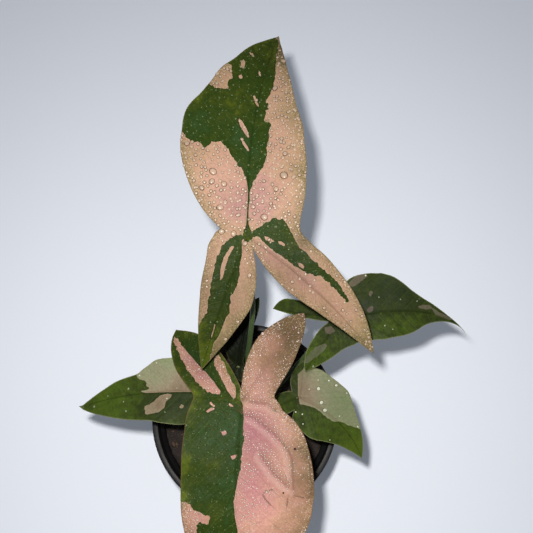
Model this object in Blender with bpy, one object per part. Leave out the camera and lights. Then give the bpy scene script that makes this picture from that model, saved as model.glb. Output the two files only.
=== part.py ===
"""A potted syngonium: six three-lobed leaves on petioles, one short stem, soil and a black nursery pot.

Metres, +Z up. The origin is the centre of the pot's flat underside, and +Y is the side that the
tallest leaf leans to. Sizes below are in millimetres and are scaled once, when a mesh is made.
"""

import math

import bmesh
import bpy
import numpy as np
from mathutils import Vector

MM = 0.001
GAP = 0.3

# Pot
RIM_RADIUS = 50.0
POT_HEIGHT = 88.0
BASE_RADIUS = 35.0
WALL = 1.5
COLLAR_HEIGHT = 10.0
COLLAR_STEP = 2.2
LIP_HEIGHT = 1.6
FOOT_ROUND = 1.0
EDGE_ROUND = 0.4
FLOOR_ROUND = 0.8
INNER_STEP = 2.2
POT_SIDES = 48
DRAIN_HOLES = 8
DRAIN_RADIUS = 3.0
DRAIN_CIRCLE = 25.0
DRAIN_SIDES = 16

# Soil
SOIL_TOP = 76.5
SOIL_MOUND = 3.0
MOUND_SPREAD = 15.0
SOIL_BUMP = 0.9
SOIL_SHRINK = 0.9
SOIL_EDGE_DROP = 1.0
SOIL_SIDES = 40
SOIL_RINGS = 8

# Short stem that every petiole grows from
HOLE_RADIUS = 5.3
STEM_FOOT = 60.0
STEM_CHAMFER = 0.8
NECK_RADIUS = 4.8
NECK_RISE = 2.2
DOME_RADIUS = 7.0
DOME_CENTRE = Vector((0.0, 2.0, 84.0))
DOME_START = -18.0
DOME_STEPS = 8
STEM_SIDES = 20

# Petioles
PETIOLE_FOOT_RADIUS = 2.1
PETIOLE_TOP_RADIUS = 1.25
PETIOLE_POINTS = 15
FOOT_SEAT = GAP + 0.25
FOOT_TAPER = 0.35
SHOULDER = 3.0
SEAT_DROP = 0.9
TOP_LEAN = 1.2
TOP_BEND = 3.0

# Blades
BLADE_THICKNESS = 0.8
WEB_RADIUS = 3.0
LOBE_BLEND = 1.0
KEEL_WIDTH = 1.5
ARCH = 0.08
WAVE_LENGTH = 27.0
WAVE_PHASES = (0.6, 2.4)
LEAST_HALF = 6.0
BLADE_RINGS = 5
EDGE_STEP = 5.6
MIDRIB_SAMPLES = 80


def lobe(length, heading, sweep, left, right, pitch, bend, fold, curl=1.0, taper=1.0, wave=0.0):
    """One lobe: its midrib's length in mm, then angles in degrees.

    heading is clockwise from the leaf's axis, sweep bends the midrib sideways and bend bends it up.
    left and right give each half as (greatest width in mm, where along it is widest, how square
    its shoulder is, how blunt its point is). fold lifts both halves, and wave is the edge's ripple.
    """
    return locals()


# Each leaf: the point where its petiole meets it, the compass heading of its main lobe (degrees
# clockwise from +Y), its petiole's route down from there, and its lobes clockwise. Where two lobes
# run together in a wide neck, webs gives its direction, reach in mm and spread in degrees, and
# blend is how far, in mm, one lobe's shape eases into the other's.
LEAVES = {
    "top": {
        "junction": (3.0, 75.6, 170.0),
        "yaw": 0.0,
        "root": (0.0, 0.6, 0.8),
        "route": [
            (1.4, 10.5, 98.0), (2.4, 17.0, 108.0), (2.0, 26.0, 119.0), (3.5, 36.0, 129.0),
            (4.9, 47.1, 138.0), (4.7, 56.0, 147.0), (3.9, 66.7, 158.0),
        ],
        "lobes": [
            lobe(108, -2, 20, (31.6, 0.44, 1.9, 1.4), (27.0, 0.29, 8.0, 1.4), 15, -34, 9, wave=0.8),
            lobe(82, 124, 13, (15.4, 0.17, 1.4, 2.5), (9.9, 0.37, 1.1, 1.2), -3, -30, 17, wave=0.5),
            lobe(66, 202, -3, (13.6, 0.44, 1.1, 1.3), (14.0, 0.13, 7.0, 1.7), -8, -26, 15, wave=0.5),
        ],
    },
    "front": {
        "junction": (0.7, 3.4, 142.0),
        "yaw": 180.0,
        "root": (0.05, -0.25, 1.0),
        "route": [(0.3, -0.8, 104.0), (0.1, -0.4, 118.0), (0.3, 1.2, 132.0)],
        "lobes": [
            lobe(95, 8, -18, (35.5, 0.42, 3.7, 1.9), (25.2, 0.15, 8.0, 4.0), 8, -44, 7, wave=0.9),
            lobe(53, 120, 35, (9.7, 0.40, 2.1, 3.0), (12.6, 0.54, 1.5, 2.4), -2, -26, 16, wave=0.4),
            lobe(53, 211, 6, (11.0, 0.53, 1.1, 1.6), (10.7, 0.12, 1.4, 3.0), 8, -28, 13,
                 taper=0.8, wave=0.4),
        ],
        "webs": [(288, 18.9, 48)],
        "blend": 3.0,
    },
    "left": {
        "junction": (-12.5, 9.2, 120.0),
        "yaw": 265.0,
        "root": (-0.85, -0.25, 0.47),
        "route": [(-10.6, 0.6, 95.0), (-12.4, 4.0, 106.0)],
        "lobes": [
            lobe(74, 11, -21, (15.9, 0.14, 3.0, 2.6), (19.0, 0.18, 3.0, 1.15), 6, -36, 13, wave=0.9),
            lobe(19, 88, 10, (6.0, 0.45, 2.0, 2.0), (4.2, 0.45, 2.0, 2.0), -24, -10, 10),
            lobe(21, 258, -10, (6.0, 0.45, 2.0, 2.0), (5.5, 0.45, 2.0, 2.0), -24, -10, 10),
        ],
    },
    "lower_right": {
        "junction": (28.0, 8.2, 114.0),
        "yaw": 133.0,
        "root": (0.75, -0.45, 0.48),
        "route": [(11.5, -1.4, 94.5), (20.5, 3.0, 103.5), (26.3, 6.8, 109.5)],
        "lobes": [
            lobe(49, -22, 45, (17.7, 0.13, 8.0, 1.3), (15.3, 0.29, 8.0, 1.15), 4, -44, 12, wave=0.5),
            lobe(17, 115, 0, (5.5, 0.45, 2.0, 2.0), (5.5, 0.45, 2.0, 2.0), -12, -10, 10),
            lobe(19, 235, 0, (5.5, 0.45, 2.0, 2.0), (5.5, 0.45, 2.0, 2.0), -2, -6, 10),
        ],
    },
    "right": {
        "junction": (48.5, 46.1, 130.0),
        "yaw": 98.0,
        "root": (0.75, 0.35, 0.55),
        "route": [(12.5, 9.5, 95.0), (25.0, 22.5, 104.5), (38.0, 36.0, 116.5), (45.8, 43.6, 124.5)],
        "lobes": [
            lobe(77, -16, 47, (20.3, 0.30, 4.6, 1.2), (14.3, 0.34, 7.3, 1.3), 7, -68, 8,
                 curl=2.0, taper=3.0, wave=0.7),
            lobe(34, 117, -2, (13.6, 0.20, 2.1, 1.15), (5.7, 0.45, 1.2, 2.9), -12, -24, 14, wave=0.3),
            lobe(36, 178, 9, (3.0, 0.25, 2.0, 1.5), (6.4, 0.75, 1.1, 3.0), -4, -24, 12, wave=0.3),
        ],
    },
    "back": {
        "junction": (-2.7, 24.5, 112.0),
        "yaw": 0.0,
        "root": (-0.62, 0.62, 0.48),
        "route": [(-5.6, 11.5, 95.0), (-4.4, 18.5, 104.0)],
        "lobes": [
            lobe(37, 4, 26, (9.0, 0.40, 2.0, 1.8), (3.8, 0.60, 2.9, 3.2), 24, -24, 14, wave=0.3),
            lobe(9, 170, 0, (1.8, 0.50, 2.0, 2.0), (2.5, 0.50, 2.0, 2.0), -14, -5, 8),
            lobe(13, 222, 0, (3.5, 0.50, 2.0, 2.0), (5.0, 0.50, 2.0, 2.0), -10, -5, 8),
        ],
    },
}


def clear_scene():
    for old in list(bpy.data.objects):
        bpy.data.objects.remove(old, do_unlink=True)


def material(name, colour, roughness):
    made = bpy.data.materials.new(name)
    made.use_nodes = True
    shader = made.node_tree.nodes["Principled BSDF"]
    shader.inputs["Base Color"].default_value = (*colour, 1.0)
    shader.inputs["Roughness"].default_value = roughness
    shader.inputs["Metallic"].default_value = 0.0
    return made


def add_object(name, mesh, finish, smooth_below=40.0):
    """Links an object that is shaded smooth but for edges sharper than smooth_below degrees."""
    mesh.materials.append(finish)
    mesh.shade_smooth()
    mesh.set_sharp_from_angle(angle=math.radians(smooth_below))
    made = bpy.data.objects.new(name, mesh)
    bpy.context.scene.collection.objects.link(made)
    return made


def mesh_from(name, points_mm, faces):
    mesh = bpy.data.meshes.new(name)
    mesh.from_pydata([tuple(float(c) * MM for c in p) for p in points_mm], [], faces)
    mesh.update()
    return mesh


def turned(name, profile, sides):
    """Turns a closed (radius, height) profile about +Z, with its ends on the axis, by a bmesh spin."""
    work = bmesh.new()
    points = [work.verts.new((r * MM, 0.0, z * MM)) for r, z in profile]
    for a, b in zip(points, points[1:]):
        work.edges.new((a, b))
    bmesh.ops.spin(
        work,
        geom=work.verts[:] + work.edges[:],
        axis=(0.0, 0.0, 1.0),
        cent=(0.0, 0.0, 0.0),
        dvec=(0.0, 0.0, 0.0),
        angle=2 * math.pi,
        steps=sides,
        use_duplicate=False,
    )
    bmesh.ops.remove_doubles(work, verts=work.verts[:], dist=0.01 * MM)
    bmesh.ops.recalc_face_normals(work, faces=work.faces[:])
    mesh = bpy.data.meshes.new(name)
    work.to_mesh(mesh)
    work.free()
    return mesh


def hidden_cutter(name, mesh):
    cutter = bpy.data.objects.new(name, mesh)
    bpy.context.scene.collection.objects.link(cutter)
    cutter.hide_render = True
    cutter.display_type = "WIRE"
    return cutter


def cut(target, cutter):
    modifier = target.modifiers.new("cut_" + cutter.name, "BOOLEAN")
    modifier.operation = "DIFFERENCE"
    modifier.object = cutter


def wall_radius(height):
    """Outer radius of the pot's tapered wall at a height, below the collar."""
    foot, top = BASE_RADIUS, RIM_RADIUS - COLLAR_STEP - WALL
    return foot + (top - foot) * height / (POT_HEIGHT - COLLAR_HEIGHT)


def pot_profile():
    collar_foot = POT_HEIGHT - COLLAR_HEIGHT
    wall_top = wall_radius(collar_foot)
    collar = RIM_RADIUS - WALL
    return [
        (0.0, 0.0),
        (BASE_RADIUS - FOOT_ROUND, 0.0),
        (BASE_RADIUS, FOOT_ROUND),
        (wall_top, collar_foot),
        (collar - EDGE_ROUND, collar_foot + 2 * EDGE_ROUND),
        (collar, POT_HEIGHT - LIP_HEIGHT),
        (RIM_RADIUS, POT_HEIGHT - LIP_HEIGHT + EDGE_ROUND / 2),
        (RIM_RADIUS, POT_HEIGHT - EDGE_ROUND),
        (RIM_RADIUS - EDGE_ROUND, POT_HEIGHT),
        (collar - WALL + EDGE_ROUND, POT_HEIGHT),
        (collar - WALL, POT_HEIGHT - EDGE_ROUND),
        (collar - WALL - EDGE_ROUND, collar_foot + INNER_STEP),
        (wall_top - WALL, collar_foot + EDGE_ROUND),
        (BASE_RADIUS - WALL, WALL + FLOOR_ROUND),
        (BASE_RADIUS - WALL - FLOOR_ROUND, WALL),
        (0.0, WALL),
    ]


def build_pot(finish):
    pot = add_object("pot", turned("pot", pot_profile(), POT_SIDES), finish, 30.0)
    work = bmesh.new()
    for k in range(DRAIN_HOLES):
        angle = 2 * math.pi * (k + 0.5) / DRAIN_HOLES
        made = bmesh.ops.create_cone(
            work, cap_ends=True, segments=DRAIN_SIDES,
            radius1=DRAIN_RADIUS * MM, radius2=DRAIN_RADIUS * MM, depth=4 * WALL * MM,
        )
        place = Vector((math.cos(angle), math.sin(angle), 0.0)) * DRAIN_CIRCLE * MM
        bmesh.ops.translate(work, verts=made["verts"], vec=place + Vector((0, 0, WALL * MM)))
    mesh = bpy.data.meshes.new("drain_holes")
    work.to_mesh(mesh)
    work.free()
    cut(pot, hidden_cutter("drain_holes", mesh))


def soil_height(x, y):
    """The soil's top: a low mound round the stem, with small lumps from crossed waves."""
    mound = SOIL_MOUND * np.exp(-(x**2 + y**2) / MOUND_SPREAD**2)
    lumps = (
        np.sin(0.55 * x + 1.3) * np.cos(0.48 * y - 0.4)
        + 0.6 * np.sin(0.31 * x - 0.62 * y)
        + 0.4 * np.cos(0.83 * x + 0.27 * y + 2.0)
    )
    return SOIL_TOP + mound + SOIL_BUMP * lumps


def build_soil(finish):
    """Rings of the lumpy top, one ring down the pot's wall, and a flat bottom."""
    floor = WALL + GAP
    foot = BASE_RADIUS - WALL - FLOOR_ROUND - GAP
    angles = 2 * np.pi * np.arange(SOIL_SIDES) / SOIL_SIDES
    edge = wall_radius(SOIL_TOP) - WALL - GAP - SOIL_SHRINK
    points = [(0.0, 0.0, float(soil_height(0.0, 0.0)))]
    for ring in range(1, SOIL_RINGS + 1):
        r = edge * ring / SOIL_RINGS
        x, y = r * np.cos(angles), r * np.sin(angles)
        z = soil_height(x, y)
        if ring == SOIL_RINGS:
            z = np.minimum(z, SOIL_TOP) - SOIL_EDGE_DROP
        points += list(zip(x, y, z))
    points += [(foot * math.cos(a), foot * math.sin(a), floor) for a in angles]
    points.append((0.0, 0.0, floor))
    n, last = SOIL_SIDES, len(points) - 1
    faces = [(0, 1 + k, 1 + (k + 1) % n) for k in range(n)]
    for ring in range(SOIL_RINGS):
        a, b = 1 + ring * n, 1 + (ring + 1) * n
        for k in range(n):
            faces.append((a + k, b + k, b + (k + 1) % n))
            faces.append((a + k, b + (k + 1) % n, a + (k + 1) % n))
    low = 1 + SOIL_RINGS * n
    faces += [(last, low + (k + 1) % n, low + k) for k in range(n)]
    soil = add_object("soil", mesh_from("soil", points, faces), finish, 60.0)
    foot_z, reach = STEM_FOOT - GAP, POT_HEIGHT
    profile = [(0.0, foot_z), (HOLE_RADIUS, foot_z), (HOLE_RADIUS, reach), (0.0, reach)]
    cut(soil, hidden_cutter("stem_hole", turned("stem_hole", profile, STEM_SIDES)))


def build_stem(finish):
    """A short round stem with a swollen, domed top, where the petioles' sheaths sit."""
    centre = DOME_CENTRE.z
    neck = SOIL_TOP + SOIL_MOUND + NECK_RISE
    profile = [
        (0.0, STEM_FOOT),
        (NECK_RADIUS - STEM_CHAMFER, STEM_FOOT),
        (NECK_RADIUS, STEM_FOOT + STEM_CHAMFER),
        (NECK_RADIUS, neck - 1.0),
    ]
    for k in range(DOME_STEPS + 1):
        angle = math.radians(DOME_START + (90 - DOME_START) * k / DOME_STEPS)
        profile.append((DOME_RADIUS * math.cos(angle), centre + DOME_RADIUS * math.sin(angle)))
    profile[-1] = (0.0, centre + DOME_RADIUS)
    mesh = turned("stem", profile, STEM_SIDES)
    for vertex in mesh.vertices:
        lean = max(0.0, vertex.co.z / MM - neck) / (centre - neck)
        vertex.co.y += DOME_CENTRE.y * MM * min(1.0, lean)
    add_object("stem", mesh, finish, 60.0)


def smooth_route(points, count):
    """Evenly spaced points on a Catmull-Rom curve through the given ones."""
    p = np.array(points, float)
    p = np.vstack([2 * p[0] - p[1], p, 2 * p[-1] - p[-2]])
    fine = []
    for a, b, c, d in zip(p, p[1:], p[2:], p[3:]):
        s = np.linspace(0, 1, 24, endpoint=False)[:, None]
        fine.append(0.5 * (2 * b + (c - a) * s + (2 * a - 5 * b + 4 * c - d) * s**2
                           + (3 * b - a - 3 * c + d) * s**3))
    fine = np.vstack(fine + [p[-2:-1]])
    reach = np.concatenate([[0], np.cumsum(np.linalg.norm(np.diff(fine, axis=0), axis=1))])
    even = np.linspace(0, reach[-1], count)
    return np.stack([np.interp(even, reach, fine[:, i]) for i in range(3)], -1)


def build_petiole(name, leaf, finish):
    """A tapered round stalk from the stem's dome to just under the blade."""
    out = Vector(leaf["root"]).normalized()
    foot = DOME_CENTRE + out * (DOME_RADIUS + FOOT_SEAT)
    shoulder = DOME_CENTRE + out * (DOME_RADIUS + SHOULDER)
    top = Vector(leaf["junction"]) - Vector((0.0, 0.0, BLADE_THICKNESS + SEAT_DROP))
    came_from = (Vector(leaf["route"][-1]) - top).normalized()
    bend = top + came_from * TOP_LEAN - Vector((0.0, 0.0, TOP_BEND))
    route = smooth_route([foot, shoulder, *leaf["route"], bend, top], PETIOLE_POINTS)
    curve = bpy.data.curves.new("petiole_" + name, "CURVE")
    curve.dimensions = "3D"
    curve.bevel_depth = PETIOLE_FOOT_RADIUS * MM
    curve.bevel_resolution = 2
    curve.use_fill_caps = True
    line = curve.splines.new("POLY")
    line.points.add(len(route) - 1)
    for k, place in enumerate(route):
        taper = min(1.0, k / (FOOT_TAPER * len(route)))
        radius = PETIOLE_FOOT_RADIUS + (PETIOLE_TOP_RADIUS - PETIOLE_FOOT_RADIUS) * taper
        line.points[k].co = (*(place * MM), 1.0)
        line.points[k].radius = radius / PETIOLE_FOOT_RADIUS
    curve.materials.append(finish)
    made = bpy.data.objects.new("petiole_" + name, curve)
    bpy.context.scene.collection.objects.link(made)


def half_width(x, side, taper):
    """Half-width of one side at x of the lobe's length: a rounded shoulder out to the widest
    place, then a curve in to the point."""
    width, widest, shoulder, point = side
    base = (1 - (1 - np.minimum(x, widest) / widest) ** 2) ** (1 / shoulder)
    tip = 1 - (np.maximum(x - widest, 0) / (1 - widest)) ** point
    return width * base * np.maximum(tip, 0) ** taper


def wrapped(angle):
    return (angle + np.pi) % (2 * np.pi) - np.pi


def lobe_reach(off, part):
    """How far a lobe's edge is from the junction, at angles off its straightened midrib."""
    reach = np.zeros_like(off)
    x = np.linspace(0.002, 1, 400) ** 1.5
    along = part["length"] * x
    for side, sign in (("left", -1), ("right", 1)):
        wide = half_width(x, part[side], part["taper"])
        angle = np.maximum.accumulate(np.arctan2(wide, along)[::-1])
        out = np.hypot(along, wide)[::-1]
        mine = (off * sign >= 0) & (np.abs(off) < np.pi / 2)
        reach[mine] = np.interp(np.abs(off[mine]), angle, out, right=0.0)
    return reach


def leaf_reach(leaf, theta):
    """Distance from the junction to the leaf's edge: the lobes joined with a small round web."""
    parts = [lobe_reach(wrapped(theta - math.radians(p["heading"])), p) for p in leaf["lobes"]]
    for direction, reach, spread in leaf.get("webs", ()):
        away = wrapped(theta - math.radians(direction)) / math.radians(spread)
        parts.append(reach * np.exp(-away**2))
    return np.maximum(np.sum(np.array(parts) ** 8, axis=0) ** 0.125, WEB_RADIUS)


def cleft_angles(leaf):
    """The angle of the shortest reach between each lobe and the next, clockwise."""
    headings = [math.radians(part["heading"]) for part in leaf["lobes"]]
    headings.append(headings[0] + 2 * math.pi)
    found = []
    for a, b in zip(headings, headings[1:]):
        theta = np.linspace(a, b, 721)[20:-20]
        reach = leaf_reach(leaf, theta)
        lowest = theta[reach <= reach.min() + 1e-9]
        found.append(float(lowest.mean()))
    return found


def lobe_surface(part, t, w):
    """Points of one lobe from t along its midrib and w across it, in mm.

    The midrib is the running sum of steps whose pitch and heading turn along it. Each half lifts
    by the fold, rounded at the keel, then arches down, and ripples towards its edge.
    """
    x = np.linspace(0, 1, MIDRIB_SAMPLES + 1)
    pitch = math.radians(part["pitch"]) + math.radians(part["bend"]) * x ** part["curl"]
    turn = math.radians(part["heading"]) + math.radians(part["sweep"]) * x ** part["curl"]
    step = np.stack([np.cos(pitch) * np.sin(turn), np.cos(pitch) * np.cos(turn), np.sin(pitch)], -1)
    length = part["length"]
    walked = np.cumsum((step[1:] + step[:-1]) / 2, axis=0) * length / MIDRIB_SAMPLES
    midrib = np.vstack([np.zeros(3), walked])
    at = np.clip(t / length, 0, 1)
    spine = np.stack([np.interp(at, x, midrib[:, i]) for i in range(3)], -1)
    spine = spine + (t - at * length)[..., None] * step[0]
    pitch, turn = np.interp(at, x, pitch), np.interp(at, x, turn)
    fold = math.radians(part["fold"])
    half = np.maximum(np.where(w < 0, part["left"][0], part["right"][0]), LEAST_HALF)
    lift = (np.sqrt(w**2 + KEEL_WIDTH**2) - KEEL_WIDTH) * math.sin(fold) - ARCH * w**2 / half
    ripple = np.sin(t * 2 * np.pi / WAVE_LENGTH + np.where(w < 0, *WAVE_PHASES))
    lift = lift + part["wave"] * np.minimum(np.abs(w) / half, 1.2) ** 2 * ripple
    side = np.stack([np.cos(turn), -np.sin(turn), 0 * turn], -1)
    rise = [-np.sin(pitch) * np.sin(turn), -np.sin(pitch) * np.cos(turn), np.cos(pitch)]
    return spine + side * (w * math.cos(fold))[..., None] + np.stack(rise, -1) * lift[..., None]


def leaf_surface(leaf, rho, theta):
    """World points in mm of flat polar places round the junction, the lobes blended by angle."""
    clefts = cleft_angles(leaf)
    total, shape = 0.0, 0.0
    for k, part in enumerate(leaf["lobes"]):
        middle = math.radians(part["heading"])
        past_low = wrapped(theta - middle) - wrapped(clefts[k - 1] - middle)
        short_of_high = wrapped(clefts[k] - middle) - wrapped(theta - middle)
        outside = np.maximum(-np.minimum(past_low, short_of_high), 0)
        weight = np.exp(-rho * outside / leaf.get("blend", LOBE_BLEND))
        off = theta - middle
        shape = shape + weight[..., None] * lobe_surface(part, rho * np.cos(off), rho * np.sin(off))
        total = total + weight
    shape = shape / total[..., None]
    yaw = math.radians(leaf["yaw"])
    turn = np.array([[math.cos(yaw), math.sin(yaw), 0], [-math.sin(yaw), math.cos(yaw), 0], [0, 0, 1]])
    return shape @ turn.T + np.array(leaf["junction"])


def edge_angles(leaf, step):
    """Angles of edge points about step mm apart, with one at each lobe's tip and each cleft."""
    tips = [math.radians(part["heading"]) for part in leaf["lobes"]]
    keys = [angle for pair in zip(tips, cleft_angles(leaf)) for angle in pair]
    keys.append(keys[0] + 2 * math.pi)
    chosen = []
    for a, b in zip(keys, keys[1:]):
        theta = np.linspace(a, b, 600)
        reach = leaf_reach(leaf, theta)
        path = np.stack([reach * np.sin(theta), reach * np.cos(theta)], -1)
        walked = np.concatenate([[0], np.cumsum(np.linalg.norm(np.diff(path, axis=0), axis=1))])
        count = max(4, int(round(walked[-1] / step)))
        even = np.linspace(0, walked[-1], count, endpoint=False)
        chosen.append(np.interp(even, walked, theta))
    return np.concatenate(chosen)


def build_blade(name, leaf, finish):
    """The blade's top sheet, a fan of rings round the junction, thickened downwards."""
    theta = edge_angles(leaf, EDGE_STEP)
    reach = leaf_reach(leaf, theta)
    n = len(theta)
    points = [leaf_surface(leaf, np.zeros(1), np.zeros(1))]
    for ring in range(1, BLADE_RINGS + 1):
        points.append(leaf_surface(leaf, reach * ring / BLADE_RINGS, theta))
    faces = [(0, 1 + (k + 1) % n, 1 + k) for k in range(n)]
    for ring in range(BLADE_RINGS - 1):
        a, b = 1 + ring * n, 1 + (ring + 1) * n
        for k in range(n):
            m = (k + 1) % n
            faces.append((a + k, b + m, b + k))
            faces.append((a + k, a + m, b + m))
    blade = add_object("leaf_" + name, mesh_from("leaf_" + name, np.vstack(points), faces), finish)
    thick = blade.modifiers.new("thickness", "SOLIDIFY")
    thick.thickness = BLADE_THICKNESS * MM
    thick.offset = -1.0
    thick.use_even_offset = True


def main():
    clear_scene()
    build_pot(material("black_plastic", (0.012, 0.010, 0.011), 0.45))
    build_soil(material("potting_soil", (0.022, 0.012, 0.008), 0.95))
    build_stem(material("stem_green", (0.09, 0.14, 0.04), 0.5))
    stalk = material("petiole_green", (0.11, 0.19, 0.05), 0.45)
    pink = material("pink_and_green_leaf", (0.55, 0.33, 0.26), 0.4)
    green = material("green_leaf", (0.06, 0.12, 0.03), 0.4)
    for name, leaf in LEAVES.items():
        build_petiole(name, leaf, stalk)
        build_blade(name, leaf, pink if name in ("top", "front") else green)


main()
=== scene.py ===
"""The potted syngonium, dressed: veined two-tone leaves with dew, grooved petioles, soil and pot.

Lengths inside the functions are millimetres. mesh_object turns them into metres once.
"""

import math

import bpy
import numpy as np
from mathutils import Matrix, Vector


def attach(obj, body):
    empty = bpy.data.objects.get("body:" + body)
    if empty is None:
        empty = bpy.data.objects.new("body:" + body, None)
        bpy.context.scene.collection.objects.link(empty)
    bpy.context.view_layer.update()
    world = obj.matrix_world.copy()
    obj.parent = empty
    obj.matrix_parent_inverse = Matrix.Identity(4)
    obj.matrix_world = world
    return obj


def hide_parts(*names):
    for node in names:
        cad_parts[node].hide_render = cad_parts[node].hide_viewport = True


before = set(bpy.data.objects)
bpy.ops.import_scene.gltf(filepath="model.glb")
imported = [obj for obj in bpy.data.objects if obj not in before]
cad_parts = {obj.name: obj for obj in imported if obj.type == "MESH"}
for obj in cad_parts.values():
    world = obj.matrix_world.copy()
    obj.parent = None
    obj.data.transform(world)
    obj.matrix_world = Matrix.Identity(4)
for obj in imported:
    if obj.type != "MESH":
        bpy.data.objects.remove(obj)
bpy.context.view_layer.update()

MM = 0.001
FLAT_UV = 100.0

# The same blade sizes as the frame's leaves
KEEL_WIDTH = 1.5
ARCH = 0.08
WAVE_LENGTH = 27.0
WAVE_PHASES = (0.6, 2.4)
LEAST_HALF = 6.0
MIDRIB_SAMPLES = 80
LOBE_BLEND = 1.0
WEB_RADIUS = 3.0

# Finer forms of the blades
EDGE_THICKNESS = 0.22
BODY_THICKNESS = 0.52
RIB_UNDER = 0.85
RIB_WIDTH = 0.9
GROOVE_DEPTH = 0.34
GROOVE_WIDTH = 0.75
QUILT = 0.1
UNEVENNESS = 0.2
LUMP_SIZE = 5.0
CALM_EDGE = 3.0
EDGE_TAPER = 1.5
FOLD_DEPTH = 0.45
FOLD_WIDTH = 2.0
EDGE_WANDER = 0.3
WANDER_SIZE = 5.5
EDGE_STEP = 0.9
FIRST_RING = 0.02
VEIN_UNDER = 0.16
VEIN_WIDTH = 0.08

# Their pale and green areas, whose depth is followed for BAND mm outside their outlines
RIM_GOLD = 0.1
SMALL_SPOT = 34.0
BAND = 7.0
POINTS_AT_ONCE = 4000


def lobe(length, heading, sweep, left, right, pitch, bend, fold, curl=1.0, taper=1.0, wave=0.0):
    """One lobe of a leaf: its midrib's length, then how it turns, bends and folds, in degrees."""
    return dict(length=length, heading=heading, sweep=sweep, left=left, right=right, pitch=pitch,
                bend=bend, fold=fold, curl=curl, taper=taper, wave=wave)


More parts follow.
